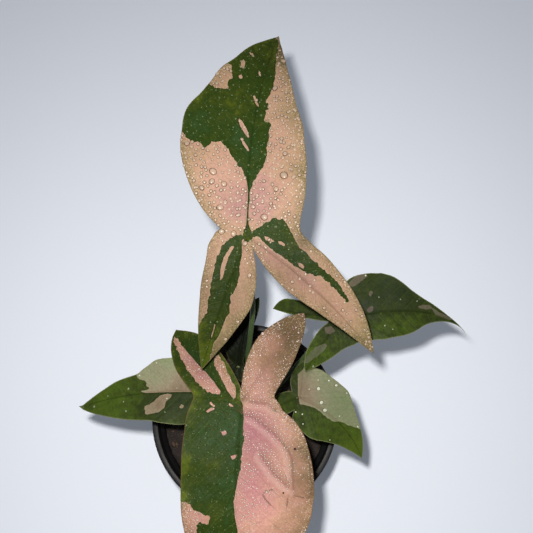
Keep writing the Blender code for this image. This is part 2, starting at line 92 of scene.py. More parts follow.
# Each leaf: where its petiole meets it, the heading of its main lobe, and its lobes clockwise.
# green holds the green areas of a pale leaf and pale the pale areas, as flat outlines in mm from
# that point, with y along the leaf's axis. tones are (x, y, radius, change) on a scale that runs
# from mauve to cream on pale parts, and from blue-green to yellow-green on green ones, where warmth
# is the leaf's own place and rim_gold what its edge adds. The shade spots are the same for
# brightness: painted shade on parts in other leaves' shadow and on parts turned from the light,
# partly their own darker tone, and painted light where a part is brighter.
# drops are (x, y, radius) and drop_tone their brightness, dry are (x, y, radius) with little dew,
# specks are scabs, folds and marks are lines, and dents are (direction, depth, spread) in the edge,
# where a negative depth bulges. Where two lobes run together in a wide neck, webs gives its
# direction, reach in mm and spread in degrees, and blend how far one shape eases into the next.
# edge_step is the distance between points on the edge, rings and under_rings count the rings.
LEAVES = {
    "top": {
        "junction": (3.0, 75.6, 170.0),
        "yaw": 0.0,
        "lobes": [
            lobe(108, -2, 20, (31.6, 0.44, 1.9, 1.4), (27.0, 0.29, 8.0, 1.4), 15, -34, 9, wave=0.8),
            lobe(82, 124, 13, (15.4, 0.17, 1.4, 2.5), (9.9, 0.37, 1.1, 1.2), -3, -30, 17, wave=0.5),
            lobe(66, 202, -3, (13.6, 0.44, 1.1, 1.3), (14.0, 0.13, 7.0, 1.7), -8, -26, 15, wave=0.5),
        ],
        "green": [
            [(-2.1, 104.8), (-1.4, 100.3), (0, 91.2), (2.3, 82.9), (3.4, 73.7), (1.6, 66.1),
             (3.2, 64.4), (2.8, 55.5), (7, 53.8), (5.9, 50), (6.8, 45.5), (5.9, 41.4), (7, 39),
             (6, 33.5), (3.7, 28.6), (1.7, 23.8), (0.6, 20), (0.3, 11.7), (0.5, 5.3), (1.9, 2.4),
             (2.5, -1), (0.5, -3), (-1.2, -2.6), (-2.6, 0.4), (-0.6, 4.6), (-0.3, 13.5), (-0.5, 20.8),
             (-1.4, 25.2), (-4.3, 29.8), (-9, 34.7), (-12.1, 39),
             (-15.7, 41.4), (-19.4, 40.9), (-21.8, 37.3), (-25.5, 39.8), (-29.2, 39.8),
             (-32.8, 42.5), (-36.2, 45.2), (-38, 51.9), (-34, 60), (-29, 71), (-24.5, 80),
             (-16, 97), (-7.5, 107)],
            [(-2.4, 0.6), (-5.7, 0.8), (-12.1, -4.4), (-15.4, -13.2), (-17.1, -22.9),
             (-19.6, -33.2), (-22.8, -38.5), (-26, -41.6), (-28.1, -51.2), (-28, -63), (-22, -65),
             (-18.7, -51.9), (-16.2, -46.9), (-11.8, -40.9), (-10.6, -36.4), (-8.5, -34.6),
             (-7.8, -27), (-4.1, -21.2), (-3.4, -13.6), (-2.5, -9.1), (-2.6, -2.7), (-1.5, -0.6)],
            [(0.7, 1.2), (6.6, 5.5), (12.5, 8.7), (17, 7.5), (19.5, 3.6), (21.3, 0.2),
             (23.4, -3.4), (28.3, -7.2), (33.1, -11), (38.6, -14.2), (43.6, -18), (48.7, -24.2),
             (48, -25.1), (43.3, -21.6), (38.7, -18.3), (35.2, -16.1), (28.2, -15.2),
             (22, -12.5), (15.9, -8.9), (9.8, -5), (5.7, -0.9), (2.4, -0.4)],
        ],
        "pale": [
            [(-28, 69), (-25, 76), (-22.5, 79.5), (-19.6, 80.8), (-17.1, 73.7), (-18.6, 71.3),
             (-17.3, 68), (-23, 66.8)],
            [(-15.7, 83.1), (-14.9, 85.8), (-13.1, 83.9), (-13.1, 79.9), (-14.7, 80.8)],
            [(-14.9, 75.5), (-13.5, 77.2), (-11.6, 75.3), (-13.3, 74)],
            [(-13.8, 91.1), (-11.6, 91), (-10.4, 89), (-12.9, 89.6)],
            [(-6.9, 83), (-5.4, 82.3), (-3.4, 78.8), (-5.3, 79.3)],
            [(-5.8, 68.4), (-4.1, 67.7), (-0.8, 62.5), (-1.6, 61.8), (-3.7, 64.1)],
            [(-9.6, 54.2), (-7.8, 53.7), (-4.8, 50.2), (-2.4, 46.3), (-3.1, 45.1), (-5.9, 47.9),
             (-8.3, 50.9)],
            [(-7.1, 45), (-5.3, 44.3), (-3, 41.6), (-1.4, 39.4), (-2.2, 38.7), (-5, 41.5)],
            [(-7.3, -4.1), (-5.8, -4.7), (-8.3, -8.9), (-10.1, -14.2), (-11.2, -18.7),
             (-12.8, -19.9), (-12.7, -15.1), (-11, -9.3)],
            [(-10.4, -35.7), (-9.9, -37.7), (-12.2, -43.7), (-13.5, -48), (-15.1, -48.5),
             (-14.4, -44.6)],
            [(-16.5, -38.8), (-15.7, -40), (-17.2, -44.2), (-18.2, -46.8), (-18.9, -45.5),
             (-17.4, -42.3)],
            [(7.3, 0.3), (9.7, -0.3), (12.7, -2.2), (10.7, -2.9), (8.2, -1.8)],
            [(13.6, -1.6), (15.6, -1.7), (17.2, -3.2), (16.5, -4.2), (14, -3)],
            [(23, -10.5), (25, -11), (26.6, -12.4), (25.7, -13.5), (23.6, -12.4)],
        ],
        "tones": [
            (-5.5, 13.7, 9, -0.34), (-12.8, 26, 8, -0.12), (6, 13, 8, -0.26), (5.6, 26, 7, -0.06),
            (14, 62, 9, 0.16), (23, 32, 8, 0.15), (2, 96, 9, 0.4), (-27, 35, 8, 0.1),
            (-16.2, -6, 7, -0.06), (-2, -22, 9, 0.06), (-8, -42, 9, 0.2), (9, -8, 8, -0.3),
            (24, -20, 10, -0.16), (43, -32, 9, -0.05), (61, -41, 9, 0.34), (-29, 47, 7, -0.3),
            (-13, 60, 9, 0.24), (-23, -55, 10, 0.4), (19, 0, 10, 0.1), (1, 40, 7, -0.12),
            (-20, 52, 8, -0.05), (-6, 46, 6, -0.3), (0, 2, 4, 0.35), (6, 23, 6, -0.22),
        ],
        # Painted shade on the basal lobes, the right edge and the tip, partly their own darker tone, and
        # a little painted light
        "painted_shades": [
            (-15, -28, 22, -0.34), (-24, -53, 9, -0.25), (22, -14, 15, -0.32), (42, -27, 12, -0.15),
            (28, 16, 4, -0.1), (27, 7, 4, -0.12), (25, -1, 4, -0.3),
            (0, 96, 12, -0.35), (-16, 26, 9, 0.1), (-7, 14, 7, -0.06), (60, -40, 8, 0.08),
        ],
        "dry": [(26, -18, 19), (47, -34, 16), (-14, -22, 20), (-20, -48, 16), (6, 28, 3)],
        "dents": [(-103, -1.6, 14), (-83, -0.8, 6), (-62, 0.8, 9), (-42, -2.2, 6), (-32, -2.4, 5),
                  (-17, -1.9, 3.5), (-8, -2.6, 4), (20, -1.3, 6), (40, 0.5, 6), (95, 0.7, 3)],
        "drops": [(15.4, 28.6, 1.9), (14.8, 39.6, 1.2), (-17, 27.5, 1.8), (-12.6, 12.2, 1.6),
                  (-11.6, 22.6, 1.4), (7.6, 8.6, 1.7), (-21.5, 20.2, 1.3)],
        "warmth": 0.5,
        "rim_gold": 0.3,
        "edge_step": 0.85,
        "rings": 92,
        "under_rings": 30,
    },
    "front": {
        "junction": (0.7, 3.4, 142.0),
        "yaw": 180.0,
        "lobes": [
            lobe(95, 8, -18, (35.5, 0.42, 3.7, 1.9), (25.2, 0.15, 8.0, 4.0), 8, -44, 7, wave=0.9),
            lobe(53, 120, 35, (9.7, 0.40, 2.1, 3.0), (12.6, 0.54, 1.5, 2.4), -2, -26, 16, wave=0.4),
            lobe(53, 211, 6, (11.0, 0.53, 1.1, 1.6), (10.7, 0.12, 1.4, 3.0), 8, -28, 13,
                 taper=0.8, wave=0.4),
        ],
        "webs": [(288, 18.9, 48)],
        "blend": 3.0,
        "green": [
            [(0.3, -0.5), (-0.4, 5.5), (-0.1, 17.6), (2.3, 29.3), (5.2, 37.8), (6.9, 43.3),
             (7.5, 50.5), (7.4, 57.4), (8.8, 70.3), (11.5, 86), (13, 96), (18, 92), (28, 74),
             (36, 57.5), (36, 38.6), (34, 18.8), (30, 2.8), (26, -3.5), (20.6, -5), (13.7, -5.7),
             (6.3, -3.5), (2.4, -1.4)],
            [(46, -19.3), (42, -14), (33, -6), (24.8, -1), (14.4, 0), (6.9, 1.5), (0.6, 1.2),
             (1.2, -2.3), (1.3, -6), (1, -11.7), (5, -18), (12.8, -25), (28.6, -32), (44, -32),
             (49, -24.2)],
        ],
        "pale": [
            [(10.4, 12.4), (7.8, 12), (7.2, 13.8), (9.3, 14.4)],
            [(6.6, 23), (3, 22.5), (3.8, 24.6), (5.8, 25.2)],
            [(33, 38), (29.1, 39.9), (26.6, 41.8), (23.9, 44.7), (20.1, 46.6), (18.2, 48.7),
             (19.9, 50.6), (23.6, 48.9), (25.9, 53.4), (26, 60), (28, 66), (34, 60), (36, 48)],
            [(15.6, -0.2), (14.2, 0.4), (12.5, 1.7), (13.4, 2.4), (15.3, 1.3)],
            [(17, 4), (15.2, 2.5), (12.6, 2.4), (13.3, 3.6), (16.1, 4.6)],
            [(44, -22.7), (42.3, -22.9), (35, -19.7), (29.1, -17.1), (23.7, -14.2), (19.4, -12),
             (14.7, -8.7), (10.8, -4.7), (10.9, -3.3), (14.2, -3.5), (16.8, -4), (20.9, -6),
             (25.5, -8.9), (32.1, -13.2), (37.2, -17.1), (41.8, -20)],
            [(6.8, -0.6), (3.3, 2.1), (6.3, 1.9)],
            [(17.6, -19.5), (17, -21.7), (15.2, -21.4), (12.5, -19.1), (9.2, -14.8),
             (6.2, -10.8), (4.2, -6.9), (3.4, -2.7), (4.4, -1.8), (7.8, -5.6), (11.3, -11.3),
             (14.8, -14.6)],
        ],
        "tones": [
            (-3.2, 8, 9, -0.4), (-8.4, 17, 9, -0.26), (-4.3, 30, 9, -0.16), (-1, 45, 10, -0.08),
            (-25, 22, 7, 0.3), (-26, 37, 8, 0.3), (-18, 56, 9, 0.26), (-5, 60, 9, 0.05),
            (0, 75, 12, 0.2), (-12, -17, 8, 0.34), (-22, -30, 10, 0.42), (-20, -40, 9, 0.5),
            (-15, -31, 5, -0.22), (-10, -13, 5, -0.25), (0.5, -0.5, 4, 0.5), (13, 16, 10, -0.2),
            (17, 41, 12, -0.12), (32, -20, 9, -0.1), (10, -15, 6, 0.14), (20, -11, 6, -0.2),
            (24, -2, 6, 0.2), (15.4, 25.8, 5, 0.4), (28, 25, 4, 0.3), (15.4, 46, 5, 0.35),
            (30, 38, 4, 0.3), (28, 13, 4, -0.15), (10, 62, 6, 0.2), (8, 34, 5, -0.15),
            (-4, 46, 6, -0.16), (-3, 37, 5, -0.12),
        ],
        "folds": [
            [(-1.1, 5.2), (-6.2, 7.7), (-10.4, 11.3), (-14.9, 15.5), (-18.5, 20), (-20.6, 23.7),
             (-21.5, 27.6), (-21, 34.5), (-20.5, 40.7)],
            [(-8, 25.1), (-10.7, 29.5), (-12.6, 33.1), (-14.8, 35.3), (-17.4, 38.7)],
            [(-3.3, -0.5), (-11.7, 0.6), (-14.9, 3.4)],
        ],
        "marks": [
            [(-28.1, 25.8), (-29.2, 29.9), (-28.8, 35.3), (-29.3, 39.6), (-27.8, 45.1), (-25.7, 46.1),
             (-21, 44.1)],
            [(-24.9, 22.3), (-26.9, 21.6)],
            [(-11.1, 40), (-8, 40.1), (-6.3, 41.3), (-7.5, 44.2), (-9.4, 46.9)],
            [(-17.4, 45.2), (-16.7, 48)],
        ],
        # Painted light low on the main lobe, and painted shade on the right margin and the basal lobes
        "painted_shades": [
            (-5, 54, 16, 0.3), (-27, 27, 6, -0.22), (-27, 40, 7, -0.18), (-20, -30, 14, -0.28),
            (-12, -12, 8, -0.26), (28, -18, 14, -0.2), (-5, 19, 14, -0.14), (22, -13, 9, -0.12),
        ],
        "dry": [(-26, 24, 6), (-26, 34, 6), (-25, 44, 7), (-21, 53, 8), (-10, 60, 10), (1, 72, 13),
                (-14, 48, 6), (-12, -18, 5), (-17, -26, 6), (-23, -37, 6), (-22, -24, 5)],
        "specks": [(-23.2, 22.1), (-15.8, 41.9)],
        "warmth": 0.46,
        "rim_gold": 0.34,
        "edge_step": 0.85,
        "rings": 86,
        "under_rings": 28,
    },
    "left": {
        "junction": (-12.5, 9.2, 120.0),
        "yaw": 265.0,
        "lobes": [
            lobe(74, 11, -21, (15.9, 0.14, 3.0, 2.6), (19.0, 0.18, 3.0, 1.15), 6, -36, 13, wave=0.9),
            lobe(19, 88, 10, (6.0, 0.45, 2.0, 2.0), (4.2, 0.45, 2.0, 2.0), -24, -10, 10),
            lobe(21, 258, -10, (6.0, 0.45, 2.0, 2.0), (5.5, 0.45, 2.0, 2.0), -24, -10, 10),
        ],
        "pale": [
            [(19.6, 38.6), (14.6, 37), (13.2, 34.6), (11.5, 33.7), (10.4, 34.5), (8.9, 33),
             (8.4, 34.2), (8.6, 38), (7.1, 36), (4.4, 23.5), (2.2, 10.7), (3, 4), (18, 5),
             (25, 11), (26, 20), (25, 30)],
            [(0.4, 37.5), (1.5, 32.9), (3.7, 28.9), (3.9, 24.7), (3, 22.8), (1.6, 23.7),
             (0.2, 26.1), (-2.7, 27.4), (-4, 30.4), (-4.2, 33.2), (-3.5, 37.6)],
            [(-3.7, 20.2), (-2.6, 18.6), (-3.6, 17.2), (-5.2, 18.1), (-4.9, 19.6)],
        ],
        "tones": [
            (10, 62, 12, 0.3), (10, 49, 10, 0.22), (14, 27, 9, 0.15), (7, 18, 7, -0.3),
            (-4, 17, 9, -0.2), (0, 31, 7, -0.35), (20, 20, 6, 0.3),
        ],
        "drops": [(11.9, 43.8, 0.7), (10.9, 65.6, 0.7), (1.4, 47.9, 0.6), (6.5, 48.2, 0.5),
                  (12.6, 55.9, 0.45), (-5, 27.4, 0.45)],
        "dents": [(-28, -1.1, 7), (-11, 1.3, 4), (1, -0.5, 3), (9, -2.6, 5), (25, 2.5, 3.4),
                  (39, -2.2, 6)],
        "drop_tone": 0.4,
        "warmth": 0.42,
        "rings": 64,
        "under_rings": 24,
    },
    "lower_right": {
        "junction": (28.0, 8.2, 114.0),
        "yaw": 133.0,
        "lobes": [
            lobe(49, -22, 45, (17.7, 0.13, 8.0, 1.3), (15.3, 0.29, 8.0, 1.15), 4, -44, 12, wave=0.5),
            lobe(17, 115, 0, (5.5, 0.45, 2.0, 2.0), (5.5, 0.45, 2.0, 2.0), -12, -10, 10),
            lobe(19, 235, 0, (5.5, 0.45, 2.0, 2.0), (5.5, 0.45, 2.0, 2.0), -2, -6, 10),
        ],
        "pale": [
            [(2.3, 2.8), (0.7, 4.9), (-2.4, 10), (-4.7, 17.3), (-6.4, 20.4), (-9.8, 22.1),
             (-13, 25.2), (-16.1, 27.2), (-19.1, 29.5), (-27, 32), (-34, 14), (-22, -8),
             (-8, -8), (-0.4, -1.1)],
        ],
        "tones": [
            (-4, 1, 6, -0.4), (-12, 3, 7, 0.1), (-16, 16, 9, 0.36), (-12.6, 36, 9, 0.35),
            (0, 18, 9, 0.12), (-16, 42, 7, 0.4), (8, 8, 7, -0.05),
        ],
        # Painted shadow on the base and lobes that lie under other leaves, and a darker pale area
        "painted_shades": [(-14, 12, 17, -0.2), (-13, -15, 7, -0.5), (5, -9, 8, -0.35), (-4, -14, 7, -0.4)],
        "dents": [(-88, 1.1, 12), (-62, -0.8, 6), (-38, 2.3, 11), (14, -1.1, 18)],
        "drops": [(-9.9, 3.4, 1.1), (-6.5, 9.3, 1.15), (-5.7, 13.4, 1.2), (-17.7, 6.5, 0.9),
                  (-16.4, 3.2, 0.6), (5, 7.5, 0.5), (6.7, 4, 0.5), (-1, 28.1, 0.4), (7.9, 11.6, 0.4)],
        "warmth": 0.5,
        "rings": 56,
        "under_rings": 22,
    },
    "right": {
        "junction": (48.5, 46.1, 130.0),
        "yaw": 98.0,
        "lobes": [
            lobe(77, -16, 47, (20.3, 0.30, 4.6, 1.2), (14.3, 0.34, 7.3, 1.3), 7, -68, 8,
                 curl=2.0, taper=3.0, wave=0.7),
            lobe(34, 117, -2, (13.6, 0.20, 2.1, 1.15), (5.7, 0.45, 1.2, 2.9), -12, -24, 14, wave=0.3),
            lobe(36, 178, 9, (3.0, 0.25, 2.0, 1.5), (6.4, 0.75, 1.1, 3.0), -4, -24, 12, wave=0.3),
        ],
        "pale": [
            [(-15.6, 0.7), (-19.9, 3.5), (-26, 8), (-22, 10), (-18.6, 7), (-15.9, 4)],
            [(-14.5, 11.9), (-15.5, 13.2), (-14.1, 14), (-11.7, 13.3), (-12.7, 11.9)],
            [(-4.6, 11.9), (-5.9, 12.2), (-8, 14.3), (-6.9, 15.5), (-4.9, 15.4), (-3.5, 13.5)],
            [(-13.1, 36.2), (-14.9, 38.1), (-16.4, 42.1), (-14.8, 43.3), (-13.1, 41.1), (-12.2, 37.3)],
            [(-12.6, 32.5), (-12.8, 33.7), (-11.7, 33.5)],
            [(-17.2, 34.9), (-17.4, 36.3), (-16, 36)],
            [(-22.5, 21.6), (-22.7, 22.9), (-21.7, 22.5)],
            [(-16.2, 40.5), (-15.5, 46.7), (-16.6, 53.8), (-18.3, 58.4), (-15.1, 54.8), (-12.7, 46.8)],
            [(26.4, -17.1), (20.9, -14.7), (16.6, -11), (14, -6.4), (15.2, -5), (18.5, -7.2),
             (21.8, -10.6), (25.2, -14.6)],
            [(5.9, -7.8), (5, -3.9), (7.2, -1.6), (9.5, -4.4), (8.8, -7)],
        ],
        "tones": [
            (-18, 16, 10, -0.14), (-16, 27, 9, -0.26), (1, 20, 9, 0.24), (-2, 34, 9, 0.26),
            (-14, 52, 8, 0.02), (-19, 68, 10, 0.1), (21, -13, 8, 0.34), (14, -4, 7, 0.14),
            (-2, -32, 9, 0.12), (7, -5, 5, -0.3), (-5, 13, 5, -0.4),
        ],
        "painted_shades": [(3, 30, 26, -0.16), (-2, -20, 16, -0.16)],
        "dents": [(-78, -1.2, 11), (-57, 1.2, 6), (-28, 1.4, 14), (-1, -1.6, 6), (12, 1.3, 4),
                  (78, 1.2, 18)],
        "drops": [(26.6, -11.4, 0.8), (1.3, 22.1, 0.6), (2.3, 26.3, 0.5), (-12.5, 17, 0.4),
                  (-13.6, 27.2, 0.4), (-15.3, 35, 0.45)],
        "drop_tone": 0.4,
        "warmth": 0.34,
        "rings": 62,
        "under_rings": 24,
    },
    "back": {
        "junction": (-2.7, 24.5, 112.0),
        "yaw": 0.0,
        "lobes": [
            lobe(37, 4, 26, (9.0, 0.40, 2.0, 1.8), (3.8, 0.60, 2.9, 3.2), 24, -24, 14, wave=0.3),
            lobe(9, 170, 0, (1.8, 0.50, 2.0, 2.0), (2.5, 0.50, 2.0, 2.0), -14, -5, 8),
            lobe(13, 222, 0, (3.5, 0.50, 2.0, 2.0), (5.0, 0.50, 2.0, 2.0), -10, -5, 8),
        ],
        "pale": [],
        "tones": [(1, 34, 6, 0.5), (1, 16, 9, -0.3)],
        # Painted shadow: this leaf lies under the top leaf
        "painted_shades": [(1, 15, 40, -0.85)],
        "warmth": 0.2,
        "rings": 40,
        "under_rings": 16,
    },
}


# Blade form

def half_width(x, side, taper):
    """A side's half-width at x of the length: an elliptic shoulder out to the widest place, then
    one minus a power of the way to the point."""
    width, widest, shoulder, point = side
    base = (1 - (1 - np.minimum(x, widest) / widest) ** 2) ** (1 / shoulder)
    tip = 1 - (np.maximum(x - widest, 0) / (1 - widest)) ** point
    return width * base * np.maximum(tip, 0) ** taper


def half_at(part, w):
    """The lobe's greatest half-width on the side of its midrib where w lies."""
    return np.maximum(np.where(w < 0, part["left"][0], part["right"][0]), LEAST_HALF)


def flat_place(rho, theta):
    """Flat x and y of places at a distance from the junction and an angle off the leaf's axis."""
    return np.stack([rho * np.sin(theta), rho * np.cos(theta)], -1)


def wrapped(angle):
    """The same angle, between minus pi and pi."""
    return (angle + np.pi) % (2 * np.pi) - np.pi


def beside(theta, direction, spread):
    """One in a direction, falling by e to the minus (angle from it over the spread)^2."""
    return np.exp(-(wrapped(theta - math.radians(direction)) / math.radians(spread)) ** 2)


def full_turn(count):
    """Angles evenly round a circle."""
    return 2 * np.pi * np.arange(count) / count


def walked_along(path):
    """The length of a row of points up to each of them."""
    return np.concatenate([[0], np.cumsum(np.linalg.norm(np.diff(path, axis=0), axis=1))])


def lobe_reach(off, part):
    """Distance from the junction to a lobe's edge at angles off its straight midrib."""
    reach = np.zeros_like(off)
    x = np.linspace(0.002, 1, 400) ** 1.5
    along = part["length"] * x
    for side, sign in (("left", -1), ("right", 1)):
        wide = half_width(x, part[side], part["taper"])
        angle = np.maximum.accumulate(np.arctan2(wide, along)[::-1])
        out = np.hypot(along, wide)[::-1]
        mine = (off * sign >= 0) & (np.abs(off) < np.pi / 2)
        reach[mine] = np.interp(np.abs(off[mine]), angle, out, right=0.0)
    return reach


def leaf_reach(leaf, theta):
    """Distance from the junction to the leaf's edge: the eighth-power mean of lobes and webs."""
    parts = [lobe_reach(wrapped(theta - math.radians(p["heading"])), p) for p in leaf["lobes"]]
    for direction, reach, spread in leaf.get("webs", ()):
        parts.append(reach * beside(theta, direction, spread))
    return np.maximum(np.sum(np.array(parts) ** 8, axis=0) ** 0.125, WEB_RADIUS)


def cleft_angles(leaf):
    """The angle of the shortest reach between each lobe and the next, clockwise."""
    headings = [math.radians(part["heading"]) for part in leaf["lobes"]]
    headings.append(headings[0] + 2 * math.pi)
    found = []
    for a, b in zip(headings, headings[1:]):
        theta = np.linspace(a, b, 721)[20:-20]
        reach = leaf_reach(leaf, theta)
        found.append(float(theta[reach <= reach.min() + 1e-9].mean()))
    return found


def lobe_surface(part, t, w):
    """Points of a lobe at t along its midrib and w across it: the midrib is the running sum of
    steps that turn and pitch along it, and each half lifts by the fold, arches and ripples."""
    x = np.linspace(0, 1, MIDRIB_SAMPLES + 1)
    pitch = math.radians(part["pitch"]) + math.radians(part["bend"]) * x ** part["curl"]
    turn = math.radians(part["heading"]) + math.radians(part["sweep"]) * x ** part["curl"]
    step = np.stack([np.cos(pitch) * np.sin(turn), np.cos(pitch) * np.cos(turn), np.sin(pitch)], -1)
    length = part["length"]
    walked = np.cumsum((step[1:] + step[:-1]) / 2, axis=0) * length / MIDRIB_SAMPLES
    midrib = np.vstack([np.zeros(3), walked])
    at = np.clip(t / length, 0, 1)
    spine = np.stack([np.interp(at, x, midrib[:, i]) for i in range(3)], -1)
    spine = spine + (t - at * length)[..., None] * step[0]
    pitch, turn = np.interp(at, x, pitch), np.interp(at, x, turn)
    fold = math.radians(part["fold"])
    half = half_at(part, w)
    lift = (np.sqrt(w**2 + KEEL_WIDTH**2) - KEEL_WIDTH) * math.sin(fold) - ARCH * w**2 / half
    ripple = np.sin(t * 2 * np.pi / WAVE_LENGTH + np.where(w < 0, *WAVE_PHASES))
    lift = lift + part["wave"] * np.minimum(np.abs(w) / half, 1.2) ** 2 * ripple
    side = np.stack([np.cos(turn), -np.sin(turn), 0 * turn], -1)
    rise = [-np.sin(pitch) * np.sin(turn), -np.sin(pitch) * np.cos(turn), np.cos(pitch)]
    return spine + side * (w * math.cos(fold))[..., None] + np.stack(rise, -1) * lift[..., None]


def leaf_surface(leaf, rho, theta):
    """World points of flat polar places: each lobe's surface, weighted by e to the minus the arc
    by which the place lies outside that lobe's sector."""
    clefts = cleft_angles(leaf)
    total, shape = 0.0, 0.0
    for k, part in enumerate(leaf["lobes"]):
        middle = math.radians(part["heading"])
        past_low = wrapped(theta - middle) - wrapped(clefts[k - 1] - middle)
        short_of_high = wrapped(clefts[k] - middle) - wrapped(theta - middle)
        outside = np.maximum(-np.minimum(past_low, short_of_high), 0)
        weight = np.exp(-rho * outside / leaf.get("blend", LOBE_BLEND))
        off = theta - middle
        shape = shape + weight[..., None] * lobe_surface(part, rho * np.cos(off), rho * np.sin(off))
        total = total + weight
    shape = shape / total[..., None]
    yaw = math.radians(leaf["yaw"])
    turn = np.array([[math.cos(yaw), math.sin(yaw), 0], [-math.sin(yaw), math.cos(yaw), 0], [0, 0, 1]])
    return shape @ turn.T + np.array(leaf["junction"])


def edge_angles(leaf):
    """Angles of edge points about an edge step apart, with one at each tip and each cleft."""
    step = leaf.get("edge_step", EDGE_STEP)
    tips = [math.radians(part["heading"]) for part in leaf["lobes"]]
    keys = [angle for pair in zip(tips, cleft_angles(leaf)) for angle in pair]
    keys.append(keys[0] + 2 * math.pi)
    chosen = []
    for a, b in zip(keys, keys[1:]):
        theta = np.linspace(a, b, 3000)
        reach = leaf_reach(leaf, theta)
        walked = walked_along(flat_place(reach, theta))
        count = max(4, int(round(walked[-1] / step)))
        even = np.linspace(0, walked[-1], count, endpoint=False)
        chosen.append(np.interp(even, walked, theta))
    return np.concatenate(chosen)


# Fields over a blade

def distance_to_line(points, line, sided=False):
    """Distance of each flat point to the nearest segment of a line, a block of points at a time.
    When sided, it is negative to the right of that segment."""
    a, b = line[:-1], line[1:]
    along = b - a
    square = np.maximum((along**2).sum(-1), 1e-9)
    found = np.empty(len(points))
    for start in range(0, len(points), POINTS_AT_ONCE):
        block = slice(start, start + POINTS_AT_ONCE)
        from_a = points[block, None] - a
        s = np.clip((from_a * along).sum(-1) / square, 0, 1)
        gaps = np.sqrt(((from_a - along * s[..., None]) ** 2).sum(-1))
        near = gaps.argmin(1)
        row = np.arange(len(near))
        found[block] = gaps[row, near]
        if sided:
            turn = along[near, 0] * from_a[row, near, 1] - along[near, 1] * from_a[row, near, 0]
            found[block] *= np.where(turn < 0, -1.0, 1.0)
    return found


def depth_inside(points, outline):
    """Signed distance into a closed outline in mm, positive inside, and -BAND when far outside."""
    ring = np.array(outline + outline[:1], float)
    found = np.full(len(points), -BAND)
    low, high = ring.min(0) - BAND, ring.max(0) + BAND
    near = np.flatnonzero(((points > low) & (points < high)).all(1))
    if len(near) == 0:
        return found
    some = points[near]
    gap = distance_to_line(some, ring)
    crossed = np.zeros(len(some), int)
    for (x0, y0), (x1, y1) in zip(ring, ring[1:]):
        spans = (y0 > some[:, 1]) != (y1 > some[:, 1])
        at = x0 + (some[:, 1] - y0) / (y1 - y0 if y1 != y0 else 1.0) * (x1 - x0)
        crossed += spans & (some[:, 0] < at)
    found[near] = np.where(crossed % 2 == 1, gap, -np.minimum(gap, BAND))
    return found


def deepest(outlines, points):
    """How far inside any of the outlines each flat point lies."""
    depths = [depth_inside(points, outline) for outline in outlines]
    return np.max([np.full(len(points), -BAND), *depths], axis=0)


def pale_depth(leaf, points):
    """How far inside the pale parts a flat point lies, in mm: all but the green areas on a leaf
    that lists some, and the pale areas on top."""
    pale = deepest(leaf["pale"], points)
    if "green" in leaf:
        pale = np.maximum(pale, -deepest(leaf["green"], points))
    return pale


def vein_fields(leaf, rho, theta):
    """Distance to the nearest midrib over the midrib's own width there, the side veins' phase
    (whole numbers on a vein, which leaves the midrib and curves towards the tip), and how far
    along its lobe a place is."""
    clefts = cleft_angles(leaf)
    rib = np.full(rho.shape, 99.0)
    phase, along = np.zeros(rho.shape), np.zeros(rho.shape)
    for k, part in enumerate(leaf["lobes"]):
        middle = math.radians(part["heading"])
        off = wrapped(theta - middle)
        t, w = rho * np.cos(off), rho * np.sin(off)
        x = np.clip(t / part["length"], 0, 1)
        width = 1.0 - 0.75 * x
        rib = np.minimum(rib, np.hypot(w, np.maximum(-t, 0)) / width)
        mine = (off > wrapped(clefts[k - 1] - middle)) & (off <= wrapped(clefts[k] - middle))
        spacing = max(part["length"] / 12.0, 3.2)
        drift = 0.35 * (1 + np.tanh(w / 2.5)) / 2
        lines = (t - 0.62 * np.abs(w) - 0.45 * w**2 / half_at(part, w)) / spacing + drift
        phase = np.where(mine, lines, phase)
        along = np.where(mine, x, along)
    return rib, phase, along


def spots_field(spots, points):
    """Sum of soft round spots: each its change times e to the minus (distance over radius)^2."""
    total = np.zeros(len(points))
    for x, y, radius, change in spots:
        away = (points[:, 0] - x) ** 2 + (points[:, 1] - y) ** 2
        total += change * np.exp(-away / radius**2)
    return total


def nearest_line(lines, points):
    """Sided distance of each flat point to the nearest of several lines."""
    found = np.array([distance_to_line(points, np.array(line, float), True) for line in lines])
    return np.take_along_axis(found, np.abs(found).argmin(0)[None], 0)[0]


def area_of(outline):
    """Area of a closed outline, by the shoelace formula."""
    x, y = np.array(outline, float).T
    return 0.5 * abs(np.dot(x, np.roll(y, -1)) - np.dot(y, np.roll(x, -1)))


def small_spots(leaf, points):
    """One on pale spots of less than SMALL_SPOT square mm, falling to nothing 2.5 mm outside."""
    small = [outline for outline in leaf["pale"] if area_of(outline) < SMALL_SPOT]
    return np.clip(1 + deepest(small, points) / 2.5, 0, 1)


# Mesh helpers

def mesh_object(name, points, quads, triangles, finish, fields=None, flat=None):
    """Makes a smooth-shaded object from arrays of points in mm, quads and triangles, with one
    float attribute for each field and, if flat is given, that as its UV map."""
    corners = np.concatenate([quads.ravel(), triangles.ravel()]).astype(np.int32)
    starts = np.concatenate([np.arange(len(quads)) * 4,
                             len(quads) * 4 + np.arange(len(triangles)) * 3])
    mesh = bpy.data.meshes.new(name)
    mesh.vertices.add(len(points))
    mesh.vertices.foreach_set("co", (points * MM).astype(np.float32).ravel())
    mesh.loops.add(len(corners))
    mesh.loops.foreach_set("vertex_index", corners)
    mesh.polygons.add(len(starts))
    mesh.polygons.foreach_set("loop_start", starts.astype(np.int32))
    mesh.update(calc_edges=True)
    mesh.shade_smooth()
    for key, values in (fields or {}).items():
        attribute = mesh.attributes.new(key, "FLOAT", "POINT")
        attribute.data.foreach_set("value", np.asarray(values, np.float32))
    if flat is not None:
        layer = mesh.uv_layers.new(name="flat")
        layer.data.foreach_set("uv", (flat[corners] / FLAT_UV).astype(np.float32).ravel())
    mesh.materials.append(finish)
    made = bpy.data.objects.new(name, mesh)
    bpy.context.scene.collection.objects.link(made)
    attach(made, "root")
    return made


